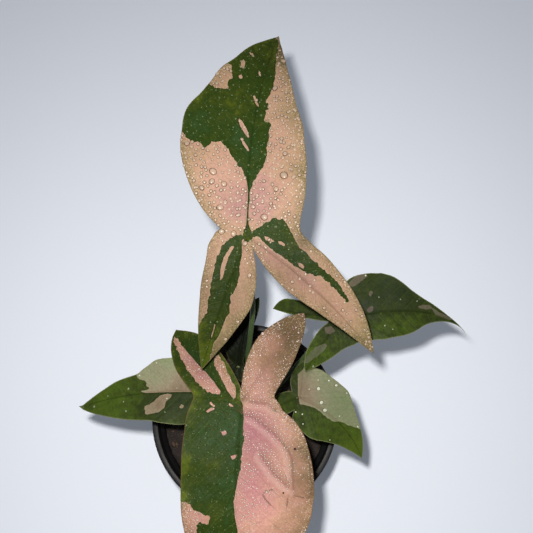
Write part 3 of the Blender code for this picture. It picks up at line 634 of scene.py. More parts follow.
def ring_quads(rings, columns, offset=0):
    """Quads between successive closed rings of points, ring after ring."""
    a = np.arange(rings - 1)[:, None] * columns + np.arange(columns) + offset
    b = np.roll(a, -1, axis=1)
    return np.stack([a, b, b + columns, a + columns], -1).reshape(-1, 4)


def fan(hub, ring):
    """Triangles from one point to each side of a closed ring of points."""
    return np.stack([np.full(len(ring), hub), ring, np.roll(ring, -1)], -1)


def capped_rings(rings, columns):
    """Quads between rings of points, and the fans that close them at the two points after them."""
    first, end = np.arange(columns), rings * columns
    fans = np.vstack([fan(end, first)[:, ::-1], fan(end + 1, end - columns + first)])
    return ring_quads(rings, columns), fans


def copied(faces, count, size):
    """The faces of a number of like shapes that have size points each, one after another."""
    return (faces + np.arange(count)[:, None, None] * size).reshape(-1, faces.shape[1])


def lattice_noise(x, y, cell, seed):
    """Smooth seeded noise from -1 to 1: random corner values blended by 3s^2 - 2s^3."""
    table = np.random.default_rng(seed).uniform(-1, 1, (64, 64))
    u, v = np.asarray(x) / cell + 512.0, np.asarray(y) / cell + 512.0
    i, j = np.floor(u).astype(int), np.floor(v).astype(int)
    s, t = u - i, v - j
    s, t = s * s * (3 - 2 * s), t * t * (3 - 2 * t)
    low = table[i % 64, j % 64] * (1 - s) + table[(i + 1) % 64, j % 64] * s
    high = table[i % 64, (j + 1) % 64] * (1 - s) + table[(i + 1) % 64, (j + 1) % 64] * s
    return low * (1 - t) + high * t


# Blades

def normals_of(leaf, rho, theta):
    """Points of the blade's sheet and its upward unit normals, from two short steps on it."""
    step = 0.3
    here = leaf_surface(leaf, rho, theta)
    out = leaf_surface(leaf, rho + step, theta) - here
    turn = leaf_surface(leaf, rho, theta + step / np.maximum(rho, 0.6)) - here
    up = np.cross(turn, out)
    return here, up / np.maximum(np.linalg.norm(up, axis=-1, keepdims=True), 1e-9)


def blade_reach(leaf, theta):
    """Distance to the finished edge: the leaf's reach with a slow seeded wander, less each dent,
    which is its depth times e to minus (angle from it over its spread)^2."""
    reach = leaf_reach(leaf, theta)
    wander = lattice_noise(reach * np.sin(theta), reach * np.cos(theta), WANDER_SIZE, 5)
    reach = reach + EDGE_WANDER * wander * np.clip(reach / 20 - 0.4, 0, 1)
    for direction, depth, spread in leaf.get("dents", ()):
        reach = reach - depth * beside(theta, direction, spread)
    return reach


def build_blade(name, leaf, finish):
    """A closed blade: rings of the sheet out from the junction above, and again below it.

    The upper side dips at the midribs and side veins and swells between them. The lower side is
    the thickness below, thin at the edge, with the midribs and veins standing out as ribs.
    """
    theta = edge_angles(leaf)
    reach = blade_reach(leaf, theta)
    outline = flat_place(reach, theta)
    outline = np.vstack([outline, outline[:1]])
    n = len(theta)

    def rings(shares):
        """Points, normals, flat places, distance to the edge and vein fields at these shares of
        the way out to the edge."""
        rho, angle = np.broadcast_arrays(shares[:, None] * reach, theta)
        here, up = normals_of(leaf, rho, angle)
        flat = flat_place(rho, angle).reshape(-1, 2)
        veins = [values.ravel() for values in vein_fields(leaf, rho, angle)]
        return here.reshape(-1, 3), up.reshape(-1, 3), flat, distance_to_line(flat, outline), *veins

    shares = np.linspace(0, 1, leaf["rings"])
    shares[0] = FIRST_RING
    here, up, flat, edge, rib, phase, _ = rings(shares)
    calm = np.clip(edge / CALM_EDGE, 0, 1) * np.clip((rib - 0.8) / 3.0, 0, 1)
    puff = 0.5 - 0.5 * np.cos(2 * np.pi * phase)
    uneven = UNEVENNESS * lattice_noise(flat[:, 0], flat[:, 1], LUMP_SIZE, 11)
    inland = np.clip(edge / 2.0, 0, 1)
    groove = GROOVE_DEPTH * np.exp(-(rib / GROOVE_WIDTH) ** 2)
    relief = (QUILT * (puff - 0.6) + uneven) * calm - groove * inland
    if "folds" in leaf:
        fold = nearest_line(leaf["folds"], flat)
        shoulder = 0.5 * np.exp(-((fold + 2.0 * FOLD_WIDTH) / FOLD_WIDTH) ** 2)
        relief = relief + FOLD_DEPTH * (shoulder - np.exp(-(fold / FOLD_WIDTH) ** 2)) * inland
    rounding = np.where(edge < 0.02, 0.5 * EDGE_THICKNESS, 0.0)
    top = here + up * (relief - rounding)[:, None]

    low_shares = np.linspace(0, 1, leaf["under_rings"])[:-1]
    low_shares[0] = FIRST_RING
    here, up, low_flat, low_edge, low_rib, low_phase, along = rings(low_shares)
    thickness = BODY_THICKNESS - (BODY_THICKNESS - EDGE_THICKNESS) * np.exp(-low_edge / EDGE_TAPER)
    off_vein = np.abs(low_phase - np.round(low_phase))
    ribs = RIB_UNDER * (1 - 0.7 * along) * np.exp(-(low_rib / RIB_WIDTH) ** 2)
    ribs = ribs + VEIN_UNDER * np.exp(-(off_vein / VEIN_WIDTH) ** 2) * (low_rib > RIB_WIDTH)
    ribs = ribs * np.clip(low_edge / CALM_EDGE, 0, 1)
    under = here - up * (thickness + ribs)[:, None]

    centre, up = normals_of(leaf, np.full(1, 0.01), np.zeros(1))
    points = np.vstack([top, under, centre - up * 0.1, centre - up * (BODY_THICKNESS + RIB_UNDER)])
    ring, first_low, hub = np.arange(n), len(top), len(top) + len(under)
    edge_ring, low_ring = first_low - n + ring, hub - n + ring
    band = np.stack([np.roll(low_ring, -1), low_ring, edge_ring, np.roll(edge_ring, -1)], -1)
    quads = np.vstack([ring_quads(len(shares), n)[:, ::-1], ring_quads(len(low_shares), n, first_low),
                       band])
    fans = np.vstack([fan(hub, ring)[:, ::-1], fan(hub + 1, first_low + ring)])

    flat = np.vstack([flat, low_flat, np.zeros((2, 2))])
    edge = np.concatenate([edge, low_edge, [9.0, 9.0]])
    gold = leaf.get("rim_gold", RIM_GOLD) * np.exp(-edge / 4.0)
    fields = {
        "pale": pale_depth(leaf, flat),
        "tone": leaf["warmth"] + gold + spots_field(leaf["tones"], flat),
        # Painted light and shade: a brightness factor from the leaf's shade spots
        "painted_shade": 1.0 + spots_field(leaf.get("painted_shades", ()), flat),
        "slim": small_spots(leaf, flat),
        "rib": np.concatenate([rib, low_rib, [0, 0]]),
        "vein": np.concatenate([phase, low_phase, [0.5, 0.5]]),
        "edge": edge,
        "under": np.concatenate([np.zeros(len(top)), np.ones(len(under)), [0, 1]]),
    }
    for key, lines in (("mark", "marks"), ("fold", "folds")):
        if lines in leaf:
            fields[key] = nearest_line(leaf[lines], flat)
    blade = mesh_object("blade_" + name, points, quads, fans, finish, fields, flat)
    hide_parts("leaf_" + name)


# Dew

# Shapes of drops: radii above and up to, shares of the radius for the rings, and sides
DROP_SHAPES = [(1.05, 9.0, (0.42, 0.74, 0.93, 1.0), 12), (0.5, 1.05, (0.5, 0.85, 1.0), 10),
               (0.0, 0.5, (0.62, 1.0), 8)]
DROP_HEIGHT = 0.38
DROP_FOOT = 0.4
DROP_JITTER = 0.42
DROP_MARGIN = 0.8
CLEAR_OF_JUNCTION = 1.5
GREEN_DROP_SIZE = 0.62
GREEN_DROP_SHARE = 0.32
DRY_SHARE = 0.15
SPECK_RADII = (0.62, 0.56)
SPECK_HEIGHT = 0.95
SPECK_STRETCH = 1.12


def dome_template(rings, sides):
    """A unit drop: under one pole, rings at shares s of its radius and at the height that makes a
    half ball, the root of 1 - s^2, closed below."""
    angle = full_turn(sides)
    share = np.array(rings)[:, None]
    height = np.repeat(np.sqrt(1 - share**2), sides, 1)
    ball = np.stack([share * np.cos(angle), share * np.sin(angle), height], -1).reshape(-1, 3)
    points = np.vstack([[[0, 0, 1]], ball, [[0, 0, -0.25]]])
    ring = 1 + np.arange(sides)
    last = (len(rings) - 1) * sides + ring
    fans = np.vstack([fan(0, ring), fan(len(points) - 1, last)[:, ::-1]])
    core = np.concatenate([[1.0], np.repeat(1 - share, sides), [0.0]])
    return points, ring_quads(len(rings), sides, 1)[:, ::-1], fans, core


def scattered(leaf, spacing, keep, margin, rng):
    """Flat places on a jittered grid that lie inside the leaf's edge by the margin."""
    reach = max(part["length"] for part in leaf["lobes"])
    axis = np.arange(-reach, reach, spacing)
    x, y = (a.ravel() for a in np.meshgrid(axis, axis))
    x = x + rng.uniform(-DROP_JITTER, DROP_JITTER, len(x)) * spacing
    y = y + rng.uniform(-DROP_JITTER, DROP_JITTER, len(y)) * spacing
    rho, theta = np.hypot(x, y), np.arctan2(x, y)
    inside = (rho < blade_reach(leaf, theta) - margin) & (rho > CLEAR_OF_JUNCTION)
    inside &= rng.random(len(x)) < keep
    return np.stack([x[inside], y[inside]], -1)


def dome_frames(leaf, places):
    """Where flat places lie on the blade, with its upward normal and two level directions there."""
    x, y = places.T
    here, up = normals_of(leaf, np.hypot(x, y), np.arctan2(x, y))
    east = np.cross(np.array([0.0, 1.0, 0.0]), up)
    east /= np.linalg.norm(east, axis=-1, keepdims=True)
    return here, up, east, np.cross(up, east)


def placed_domes(template, frames, radii, height, spin, stretch):
    """Copies of a unit dome on the blade, each turned, stretched and scaled to its radius."""
    here, up, east, north = (part[:, None] for part in frames)
    c, s, r = np.cos(spin)[:, None], np.sin(spin)[:, None], radii[:, None]
    a, b = template[:, 0] * stretch[:, None], template[:, 1] / stretch[:, None]
    across, along = (a * c - b * s) * r, (a * s + b * c) * r
    high = template[:, 2] * r * height
    placed = here + east * across[..., None] + north * along[..., None] + up * high[..., None]
    return placed.reshape(-1, 3)


def drop_places(leaf, layers, rng):
    """Flat places and radii of drops, layer by layer from the largest, each clear of those before
    it, and their brightness. Few stay on green or in dry areas, and those on green are smaller."""
    listed = np.array(leaf.get("drops", []), float).reshape(-1, 3)
    placed, radii = listed[:, :2], listed[:, 2]
    for spacing, least, most, keep in layers:
        found = scattered(leaf, spacing, keep, most * DROP_MARGIN, rng)
        mine = least + (most - least) * rng.random(len(found)) ** 1.1
        luck = rng.random(len(found))
        green = pale_depth(leaf, found) < 0
        mine = np.where(green, mine * GREEN_DROP_SIZE, mine)
        kept = ~green | (luck < GREEN_DROP_SHARE)
        for x, y, radius in leaf.get("dry", ()):
            kept &= (np.hypot(found[:, 0] - x, found[:, 1] - y) > radius) | (luck < DRY_SHARE)
        if len(placed):
            gap = np.sqrt(((found[:, None] - placed) ** 2).sum(-1)) - radii
            kept &= gap.min(1) > mine
        placed = np.vstack([placed, found[kept]])
        radii = np.concatenate([radii, mine[kept]])
    bright = np.clip(pale_depth(leaf, placed) * 4, 0, 1)
    bright[:len(listed)] = leaf.get("drop_tone", 1.0)
    return placed, radii, bright


def build_drops(name, leaf, layers, finish, seed):
    """Dew on a blade as low closed domes, with more faces the larger the drop."""
    rng = np.random.default_rng(seed)
    placed, radii, bright = drop_places(leaf, layers, rng)
    frames = dome_frames(leaf, placed)
    spin = rng.uniform(0, 2 * np.pi, len(radii))
    stretch = rng.uniform(0.88, 1.12, len(radii))
    broad = np.clip((radii - 0.4) / 0.8, 0, 1)
    points, quads, fans, fields, base = [], [], [], [], 0
    for least, most, rings, sides in DROP_SHAPES:
        mine = np.flatnonzero((radii > least) & (radii <= most))
        count = len(mine)
        unit, unit_quads, unit_fans, core = dome_template(rings, sides)
        size = len(unit)
        height = np.where(unit[:, 2] < 0, DROP_FOOT, DROP_HEIGHT)
        points.append(placed_domes(unit, [part[mine] for part in frames], radii[mine], height,
                                   spin[mine], stretch[mine]))
        quads.append(base + copied(unit_quads, count, size))
        fans.append(base + copied(unit_fans, count, size))
        fields.append([np.tile(core, count), np.repeat(bright[mine], size),
                       np.repeat(broad[mine], size)])
        base += count * size
    mesh_object("dew_" + name, np.vstack(points), np.vstack(quads), np.vstack(fans), finish,
                dict(zip(("core", "over_pale", "broad"), np.hstack(fields))))


def build_specks(name, leaf, finish):
    """Small dark scabs on a blade: low uneven domes at the listed places."""
    places = np.array(leaf["specks"], float)
    count = len(places)
    unit, quads, fans, _ = dome_template((0.6, 1.0), 10)
    points = placed_domes(unit, dome_frames(leaf, places), np.linspace(*SPECK_RADII, count),
                          SPECK_HEIGHT, np.linspace(0.3, 2.0, count), np.full(count, SPECK_STRETCH))
    mesh_object("specks_" + name, points, copied(quads, count, len(unit)),
                copied(fans, count, len(unit)), finish)


# Petioles, stem, soil and pot

POT_HEIGHT = 88.0
RIM_RADIUS = 50.0
BASE_RADIUS = 35.0
WALL = 1.5
COLLAR_HEIGHT = 10.0
COLLAR_STEP = 2.2
LIP_HEIGHT = 1.6
POT_SIDES = 176
DRAIN_HOLES = 8
DRAIN_RADIUS = 3.0
DRAIN_CIRCLE = 25.0
DRAIN_SIDES = 40
DRAIN_CUT = (-3.0, 5.0)
SHARP_ANGLE = 35.0

SOIL_TOP = 76.5
SOIL_FLOOR = 1.8
SOIL_SIDES = 300
SOIL_RINGS = 70
MOUND_HEIGHT = 3.0
MOUND_RADIUS = 15.0
LUMP_HEIGHT = 0.9
CRUMBS = 900
CRUMB_SIDES = 6
CRUMB_SHAPE = (1.4, 0.8, 0.6)
CLEAR_OF_STEM = 7.5

STEM_FOOT = 60.0
STEM_RADIUS = 4.8
SCARS = ((77.5, 0.35), (72.0, 0.3))
SCAR_WIDTH = 0.7
STEM_SIDES = 64
DOME_CENTRE = np.array([0.0, 2.0, 84.0])
DOME_RADIUS = 7.0

STALK_RINGS = 90
STALK_SIDES = 22
FOOT_RADIUS = 2.1
TOP_RADIUS = 1.25
JOINT_SWELL = 0.4

# Each petiole's direction on the stem's dome and the points of its route up from there
ROUTES = {
    "top": ((0.0, 0.6, 0.8), [(1.4, 10.5, 98.0), (2.4, 17.0, 108.0), (2.0, 26.0, 119.0),
            (3.5, 36.0, 129.0), (4.9, 47.1, 138.0), (4.7, 56.0, 147.0), (3.9, 66.7, 158.0)]),
    "front": ((0.05, -0.25, 1.0), [(0.3, -0.8, 104.0), (0.1, -0.4, 118.0), (0.3, 1.2, 132.0)]),
    "left": ((-0.85, -0.25, 0.47), [(-10.6, 0.6, 95.0), (-12.4, 4.0, 106.0)]),
    "lower_right": ((0.75, -0.45, 0.48), [(11.5, -1.4, 94.5), (20.5, 3.0, 103.5), (26.3, 6.8, 109.5)]),
    "right": ((0.75, 0.35, 0.55), [(12.5, 9.5, 95.0), (25.0, 22.5, 104.5), (38.0, 36.0, 116.5),
              (45.8, 43.6, 124.5)]),
    "back": ((-0.62, 0.62, 0.48), [(-5.6, 11.5, 95.0), (-4.4, 18.5, 104.0)]),
}


def smooth_route(points, count):
    """Evenly spaced points on a Catmull-Rom curve through the given ones, and its length."""
    p = np.array(points, float)
    p = np.vstack([2 * p[0] - p[1], p, 2 * p[-1] - p[-2]])
    s = np.linspace(0, 1, 24, endpoint=False)[:, None]
    fine = [0.5 * (2 * b + (c - a) * s + (2 * a - 5 * b + 4 * c - d) * s**2
                   + (3 * b - a - 3 * c + d) * s**3) for a, b, c, d in zip(p, p[1:], p[2:], p[3:])]
    fine = np.vstack(fine + [p[-2:-1]])
    reach = walked_along(fine)
    even = np.linspace(0, reach[-1], count)
    return np.stack([np.interp(even, reach, fine[:, i]) for i in range(3)], -1), reach[-1]


def build_petiole(name, finish):
    """A stalk carried along its route: round, a little grooved on its upper side, with the wings
    of its sheath at the foot and a swollen joint under the blade."""
    direction, route = ROUTES[name]
    out = np.array(direction) / np.linalg.norm(direction)
    junction = np.array(LEAVES[name]["junction"])
    seat = junction - np.array([0.0, 0.0, 1.7])
    lean = np.array(route[-1]) - seat
    bend = seat + lean / np.linalg.norm(lean) * 1.2 - np.array([0.0, 0.0, 3.0])
    knots = [DOME_CENTRE + out * (DOME_RADIUS - 0.6), DOME_CENTRE + out * (DOME_RADIUS + 3.0),
             *route, bend, junction - np.array([0.0, 0.0, 0.5])]
    centre, length = smooth_route(knots, STALK_RINGS)
    along = np.gradient(centre, axis=0)
    along /= np.linalg.norm(along, axis=1, keepdims=True)
    side = np.cross(centre[-1] - centre[0], [0.0, 0.0, 1.0])
    if np.linalg.norm(side) < 1:
        side = np.array([1.0, 0.0, 0.0])
    side = side - (along @ side)[:, None] * along
    side /= np.linalg.norm(side, axis=1, keepdims=True)
    back = np.cross(along, side)

    angle = full_turn(STALK_SIDES)
    walked = np.linspace(0, length, STALK_RINGS)
    share = walked / length
    radius = FOOT_RADIUS + (TOP_RADIUS - FOOT_RADIUS) * np.minimum(1, share / 0.35)
    radius = radius + JOINT_SWELL * np.exp(-(((length - walked) - 2.5) / 3.0) ** 2)
    wing = np.clip(1 - share / 0.4, 0, 1)[:, None] ** 0.6
    from_groove = wrapped(angle - np.pi / 2)
    facing = np.cos(from_groove)
    groove = 1 - 0.16 * np.exp(-((from_groove / 0.45) ** 2))
    wings = np.exp(-((np.abs(from_groove) - 0.95) / 0.28) ** 2)
    r = radius[:, None] * (groove + 0.22 * wing * wings - 0.05 * wing * facing)
    points = centre[:, None] + side[:, None] * (r * np.cos(angle))[..., None]
    points = points + back[:, None] * (r * np.sin(angle))[..., None]
    points = np.vstack([points.reshape(-1, 3), centre[:1], centre[-1:]])
    fields = {"rise": np.concatenate([np.repeat(share, STALK_SIDES), [0, 1]]),
              "round": np.concatenate([np.tile(facing, STALK_RINGS), [0, 0]])}
    quads, fans = capped_rings(STALK_RINGS, STALK_SIDES)
    stalk = mesh_object("stalk_" + name, points, quads, fans, finish, fields)
    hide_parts("petiole_" + name)


def turned_shape(profile, sides):
    """Points, quads and triangles of a closed shape: the profile's (radius, height) rows, from its
    lower pole round to its upper pole, carried round the vertical axis."""
    angle = full_turn(sides)
    rows = np.array(profile, float)
    radius, height = rows[1:-1, :1], rows[1:-1, 1:]
    points = np.stack([radius * np.cos(angle), radius * np.sin(angle), np.repeat(height, sides, 1)], -1)
    poles = [[0, 0, rows[0, 1]], [0, 0, rows[-1, 1]]]
    return np.vstack([points.reshape(-1, 3), poles]), *capped_rings(len(rows) - 2, sides)


def wall_radius(height):
    """The pot's outer radius under its collar, which widens evenly with height."""
    top = RIM_RADIUS - COLLAR_STEP - WALL
    return BASE_RADIUS + (top - BASE_RADIUS) * height / (POT_HEIGHT - COLLAR_HEIGHT)


def cut_drain_holes(pot, finish):
    """Cuts a ring of round holes through the pot's floor."""
    low, high = DRAIN_CUT
    profile = [(0, low), (DRAIN_RADIUS, low), (DRAIN_RADIUS, high), (0, high)]
    points, quads, fans = turned_shape(profile, DRAIN_SIDES)
    around = 2 * np.pi * (np.arange(DRAIN_HOLES) + 0.5) / DRAIN_HOLES
    middles = DRAIN_CIRCLE * np.stack([np.cos(around), np.sin(around), 0 * around], -1)
    plugs = (middles[:, None] + points).reshape(-1, 3)
    cutter = mesh_object("drain_cutter", plugs, copied(quads, DRAIN_HOLES, len(points)),
                         copied(fans, DRAIN_HOLES, len(points)), finish)
    cut = pot.modifiers.new("drain_holes", "BOOLEAN")
    cut.operation = "DIFFERENCE"
    cut.object = cutter
    bpy.context.view_layer.update()
    graph = bpy.context.evaluated_depsgraph_get()
    whole = bpy.data.meshes.new_from_object(pot.evaluated_get(graph))
    pot.modifiers.clear()
    pot.data = whole
    bpy.data.objects.remove(cutter)
    whole.set_sharp_from_angle(angle=math.radians(SHARP_ANGLE))


def build_pot(finish):
    """The pot's wall, collar and lip as one turned profile, with its drain holes cut through."""
    collar_foot = POT_HEIGHT - COLLAR_HEIGHT
    wall_top, collar = wall_radius(collar_foot), RIM_RADIUS - WALL
    lip_foot = POT_HEIGHT - LIP_HEIGHT
    profile = [(0, 0), (12, 0), (20, 0), (30, 0), (BASE_RADIUS - 1.0, 0), (BASE_RADIUS - 0.3, 0.3),
               (BASE_RADIUS, 1.0)]
    profile += [(wall_radius(h), h) for h in np.linspace(6, collar_foot - 2, 14)]
    profile += [(wall_top, collar_foot), (wall_top + 0.5, collar_foot + 0.25),
                (collar - 0.4, collar_foot + 0.6), (collar - 0.1, collar_foot + 0.9),
                (collar, collar_foot + 1.4), (collar, lip_foot - 0.3),
                (collar + 0.15, lip_foot), (RIM_RADIUS - 0.2, lip_foot + 0.1),
                (RIM_RADIUS, lip_foot + 0.35), (RIM_RADIUS, POT_HEIGHT - 0.45),
                (RIM_RADIUS - 0.15, POT_HEIGHT - 0.12), (RIM_RADIUS - 0.5, POT_HEIGHT),
                (collar - WALL + 0.5, POT_HEIGHT), (collar - WALL + 0.12, POT_HEIGHT - 0.12),
                (collar - WALL, POT_HEIGHT - 0.5), (collar - WALL - 0.4, collar_foot + 2.2),
                (wall_top - WALL, collar_foot + 0.4)]
    profile += [(wall_radius(h) - WALL, h) for h in np.linspace(collar_foot - 3, 8, 10)]
    profile += [(BASE_RADIUS - WALL, WALL + 0.8), (BASE_RADIUS - WALL - 0.8, WALL), (0, WALL)]
    points, quads, fans = turned_shape(profile, POT_SIDES)
    pot = mesh_object("pot_shell", points, quads, fans, finish)
    pot.data.flip_normals()
    cut_drain_holes(pot, finish)
    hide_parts("pot")


def soil_height(x, y):
    """The frame's low mound and lumps, which are sums of sines, with crumbs of seeded noise."""
    mound = MOUND_HEIGHT * np.exp(-(x**2 + y**2) / MOUND_RADIUS**2)
    lumps = (np.sin(0.55 * x + 1.3) * np.cos(0.48 * y - 0.4) + 0.6 * np.sin(0.31 * x - 0.62 * y)
             + 0.4 * np.cos(0.83 * x + 0.27 * y + 2.0))
    fine = 0.7 * lattice_noise(x, y, 3.2, 1) + 0.45 * np.abs(lattice_noise(x, y, 1.5, 2))
    return SOIL_TOP + mound + LUMP_HEIGHT * lumps + fine + 0.25 * lattice_noise(x, y, 0.7, 3) - 0.3


def build_soil(finish):
    """Rings of crumbly soil out to the wall, then down to a flat bottom."""
    edge, foot = wall_radius(SOIL_TOP) - WALL - 0.15, BASE_RADIUS - WALL - 1.1
    angle = full_turn(SOIL_SIDES)
    radius = np.concatenate([[0.4], np.linspace(0, edge, SOIL_RINGS)[1:]])
    x, y = radius[:, None] * np.cos(angle), radius[:, None] * np.sin(angle)
    drop = 1.3 * np.clip((radius - edge + 3) / 3, 0, 1)[:, None] ** 2
    top = np.stack([x, y, soil_height(x, y) - drop], -1)
    top[radius < 5.0, :, 2] = np.minimum(top[radius < 5.0, :, 2], SOIL_TOP + 3.5)
    low = np.stack([foot * np.cos(angle), foot * np.sin(angle), np.full(SOIL_SIDES, SOIL_FLOOR)], -1)
    points = np.vstack([top.reshape(-1, 3), low, [[0, 0, float(top[0, :, 2].mean())]],
                        [[0, 0, SOIL_FLOOR]]])
    quads, fans = capped_rings(SOIL_RINGS + 1, SOIL_SIDES)
    bed = mesh_object("soil_bed", points, quads[:, ::-1], fans[:, ::-1], finish)
    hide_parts("soil")


def build_crumbs(finish):
    """Crumbs of bark and peat half sunk in the soil: six-sided double cones, each stretched,
    turned and roughened by a seeded draw."""
    rng = np.random.default_rng(7)
    away = np.sqrt(rng.uniform(0.02, 0.98, CRUMBS)) * (wall_radius(SOIL_TOP) - WALL - 2.0)
    around = rng.uniform(0, 2 * np.pi, CRUMBS)
    x, y = away * np.cos(around), away * np.sin(around)
    clear = np.hypot(x, y) > CLEAR_OF_STEM
    x, y = x[clear, None], y[clear, None]
    count = len(x)
    size = rng.uniform(0.45, 1.5, (count, 1, 3)) * rng.uniform(0.5, 1.25, (count, 1, 1)) * CRUMB_SHAPE
    ring = full_turn(CRUMB_SIDES)
    upper = np.column_stack([0.85 * np.cos(ring), 0.85 * np.sin(ring), 0 * ring + 0.45])
    lower = np.column_stack([np.cos(ring + 0.5), np.sin(ring + 0.5), 0 * ring - 0.4])
    unit = np.vstack([[[0, 0, 1.0]], upper, lower, [[0, 0, -1.0]]])
    shape = unit * size * (1 + 0.22 * rng.uniform(-1, 1, (count, len(unit), 1)))
    yaw, roll = rng.uniform(0, 2 * np.pi, count)[:, None], rng.uniform(-0.5, 0.5, count)[:, None]
    a, b, h = shape[..., 0], shape[..., 1], shape[..., 2]
    b, h = b * np.cos(roll) - h * np.sin(roll), b * np.sin(roll) + h * np.cos(roll)
    place = np.stack([x + a * np.cos(yaw) - b * np.sin(yaw), y + a * np.sin(yaw) + b * np.cos(yaw),
                      soil_height(x, y) + h], -1)
    first = 1 + np.arange(CRUMB_SIDES)
    band = ring_quads(2, CRUMB_SIDES, 1)[:, [0, 3, 2, 1]]
    fans = np.vstack([fan(0, first), fan(len(unit) - 1, first + CRUMB_SIDES)[:, ::-1]])
    kind = np.repeat(rng.random(count), len(unit))
    mesh_object("soil_crumbs", place.reshape(-1, 3), copied(band, count, len(unit)),
                copied(fans, count, len(unit)), finish, {"kind": kind})


def build_stem(finish):
    """The short stem with leaf-scar rings and a domed top, a turned profile that leans in y."""
    neck, dome = SOIL_TOP + 5.2, DOME_CENTRE[2]
    heights = np.linspace(STEM_FOOT, neck - 1.0, 30)
    radius = np.full(len(heights), STEM_RADIUS)
    for scar, depth in SCARS:
        radius -= depth * np.exp(-((heights - scar) / SCAR_WIDTH) ** 2)
    angle = np.radians(np.linspace(-18, 86, 22))
    ripple = 1 + 0.02 * np.sin(np.linspace(0, 14, 22))
    profile = [(0, STEM_FOOT), (4.0, STEM_FOOT), *zip(radius, heights + 0.3)]
    profile += zip(DOME_RADIUS * np.cos(angle) * ripple, dome + DOME_RADIUS * np.sin(angle))
    points, quads, fans = turned_shape(profile + [(0, dome + DOME_RADIUS)], STEM_SIDES)
    points[:, 1] += DOME_CENTRE[1] * np.clip((points[:, 2] - neck) / (dome - neck), 0, 1)
    stem = mesh_object("stem_crown", points, quads, fans, finish)
    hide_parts("stem")


# Finishes

class Value:
    """A socket in a finish's node tree. Sums and products of values add maths nodes."""

    def __init__(self, tree, socket):
        self.tree = tree
        self.socket = socket

    def maths(self, operation, other=0.0):
        """The operation on this value and another."""
        return add_node(self.tree, "Math", {0: self, 1: other}, operation=operation)

    def __add__(self, other):
        return self.maths("ADD", other)

    def __sub__(self, other):
        return self.maths("SUBTRACT", other)

    def __mul__(self, other):
        return self.maths("MULTIPLY", other)

    def span(self, low, high, out_low=0.0, out_high=1.0):
        """A smooth step from out_low to out_high as the value goes from low to high."""
        inputs = {"Value": self, "From Min": low, "From Max": high, "To Min": out_low,
                  "To Max": out_high}
        return add_node(self.tree, "MapRange", inputs, interpolation_type="SMOOTHSTEP")

    def tint(self, share, colour):
        """This colour with a share of another laid over it."""
        return add_node(self.tree, "Mix", {0: share, 6: self, 7: colour}, 2, data_type="RGBA")

    def ramp(self, stops):
        """The colour between (place, colour) stops at this value."""
        made = add_node(self.tree, "ValToRGB", {"Fac": self}, "Color")
        marks = made.socket.node.color_ramp.elements
        while len(marks) < len(stops):
            marks.new(0.5)
        for mark, (place, colour) in zip(marks, stops):
            mark.position = place
            mark.color = (*colour, 1.0)
        return made

    def noise(self, size, detail=2.0, rough=0.5):
        """Noise from 0 to 1 at these places, in lumps of about size mm."""
        inputs = {"Vector": self, "Scale": 1.0 / size, "Detail": detail, "Roughness": rough}
        return add_node(self.tree, "TexNoise", inputs, "Fac")

    def drift(self, size, amount, detail=2.0, rough=0.5):
        """The same noise, from minus half the amount to plus half."""
        return self.noise(size, detail, rough) * amount - amount / 2

    def cells(self, size, feature="F1"):
        """Distance from the middles of cells about size mm wide, or from their edges."""
        inputs = {"Vector": self, "Scale": 1.0 / size}
        return add_node(self.tree, "TexVoronoi", inputs, "Distance", feature=feature)


def join(tree, value, socket):
    """Links a value to a socket, or sets a plain number or colour on it."""
    if isinstance(value, Value):
        tree.links.new(value.socket, socket)
    elif isinstance(value, tuple) and socket.type == "RGBA":
        socket.default_value = (*value, 1.0)
    else:
        socket.default_value = value


def add_node(tree, kind, inputs, output=0, **settings):
    """Adds a node, makes its settings, joins its inputs and gives one of its outputs."""
    node = tree.nodes.new("ShaderNode" + kind)
    for key, setting in settings.items():
        setattr(node, key, setting)
    for key, value in inputs.items():
        join(tree, value, node.inputs[key])
    return Value(tree, node.outputs[output])


class Finish:
    """A new material, with its fields and places as values."""

    def __init__(self, name):
        self.made = bpy.data.materials.new(name)
        self.made.use_nodes = True
        self.tree = self.made.node_tree

    def field(self, name):
        """One of the mesh's float attributes."""
        return add_node(self.tree, "Attribute", {}, "Fac", attribute_name=name)

    def flat(self, stretch=1.0, turn=0.0):
        """The blade's flat map in millimetres, stretched and turned for a pattern."""
        source = add_node(self.tree, "UVMap", {}, uv_map="flat")
        inputs = {"Vector": source, "Scale": (FLAT_UV, FLAT_UV * stretch, FLAT_UV),
                  "Rotation": (0.0, 0.0, turn)}
        return add_node(self.tree, "Mapping", inputs)

    def places(self):
        """Object coordinates in millimetres."""
        source = add_node(self.tree, "TexCoord", {}, "Object")
        return add_node(self.tree, "Mapping", {"Vector": source, "Scale": (1 / MM, 1 / MM, 1 / MM)})

    def give(self, inputs, height=None, strength=1.0):
        """Joins the shader's inputs, and a height in millimetres to its normal."""
        shader = self.tree.nodes["Principled BSDF"]
        if height is not None:
            bump = {"Height": height, "Strength": strength, "Distance": MM}
            inputs["Normal"] = add_node(self.tree, "Bump", bump, "Normal")
        for key, value in inputs.items():
            join(self.tree, value, shader.inputs[key])
        return self.made


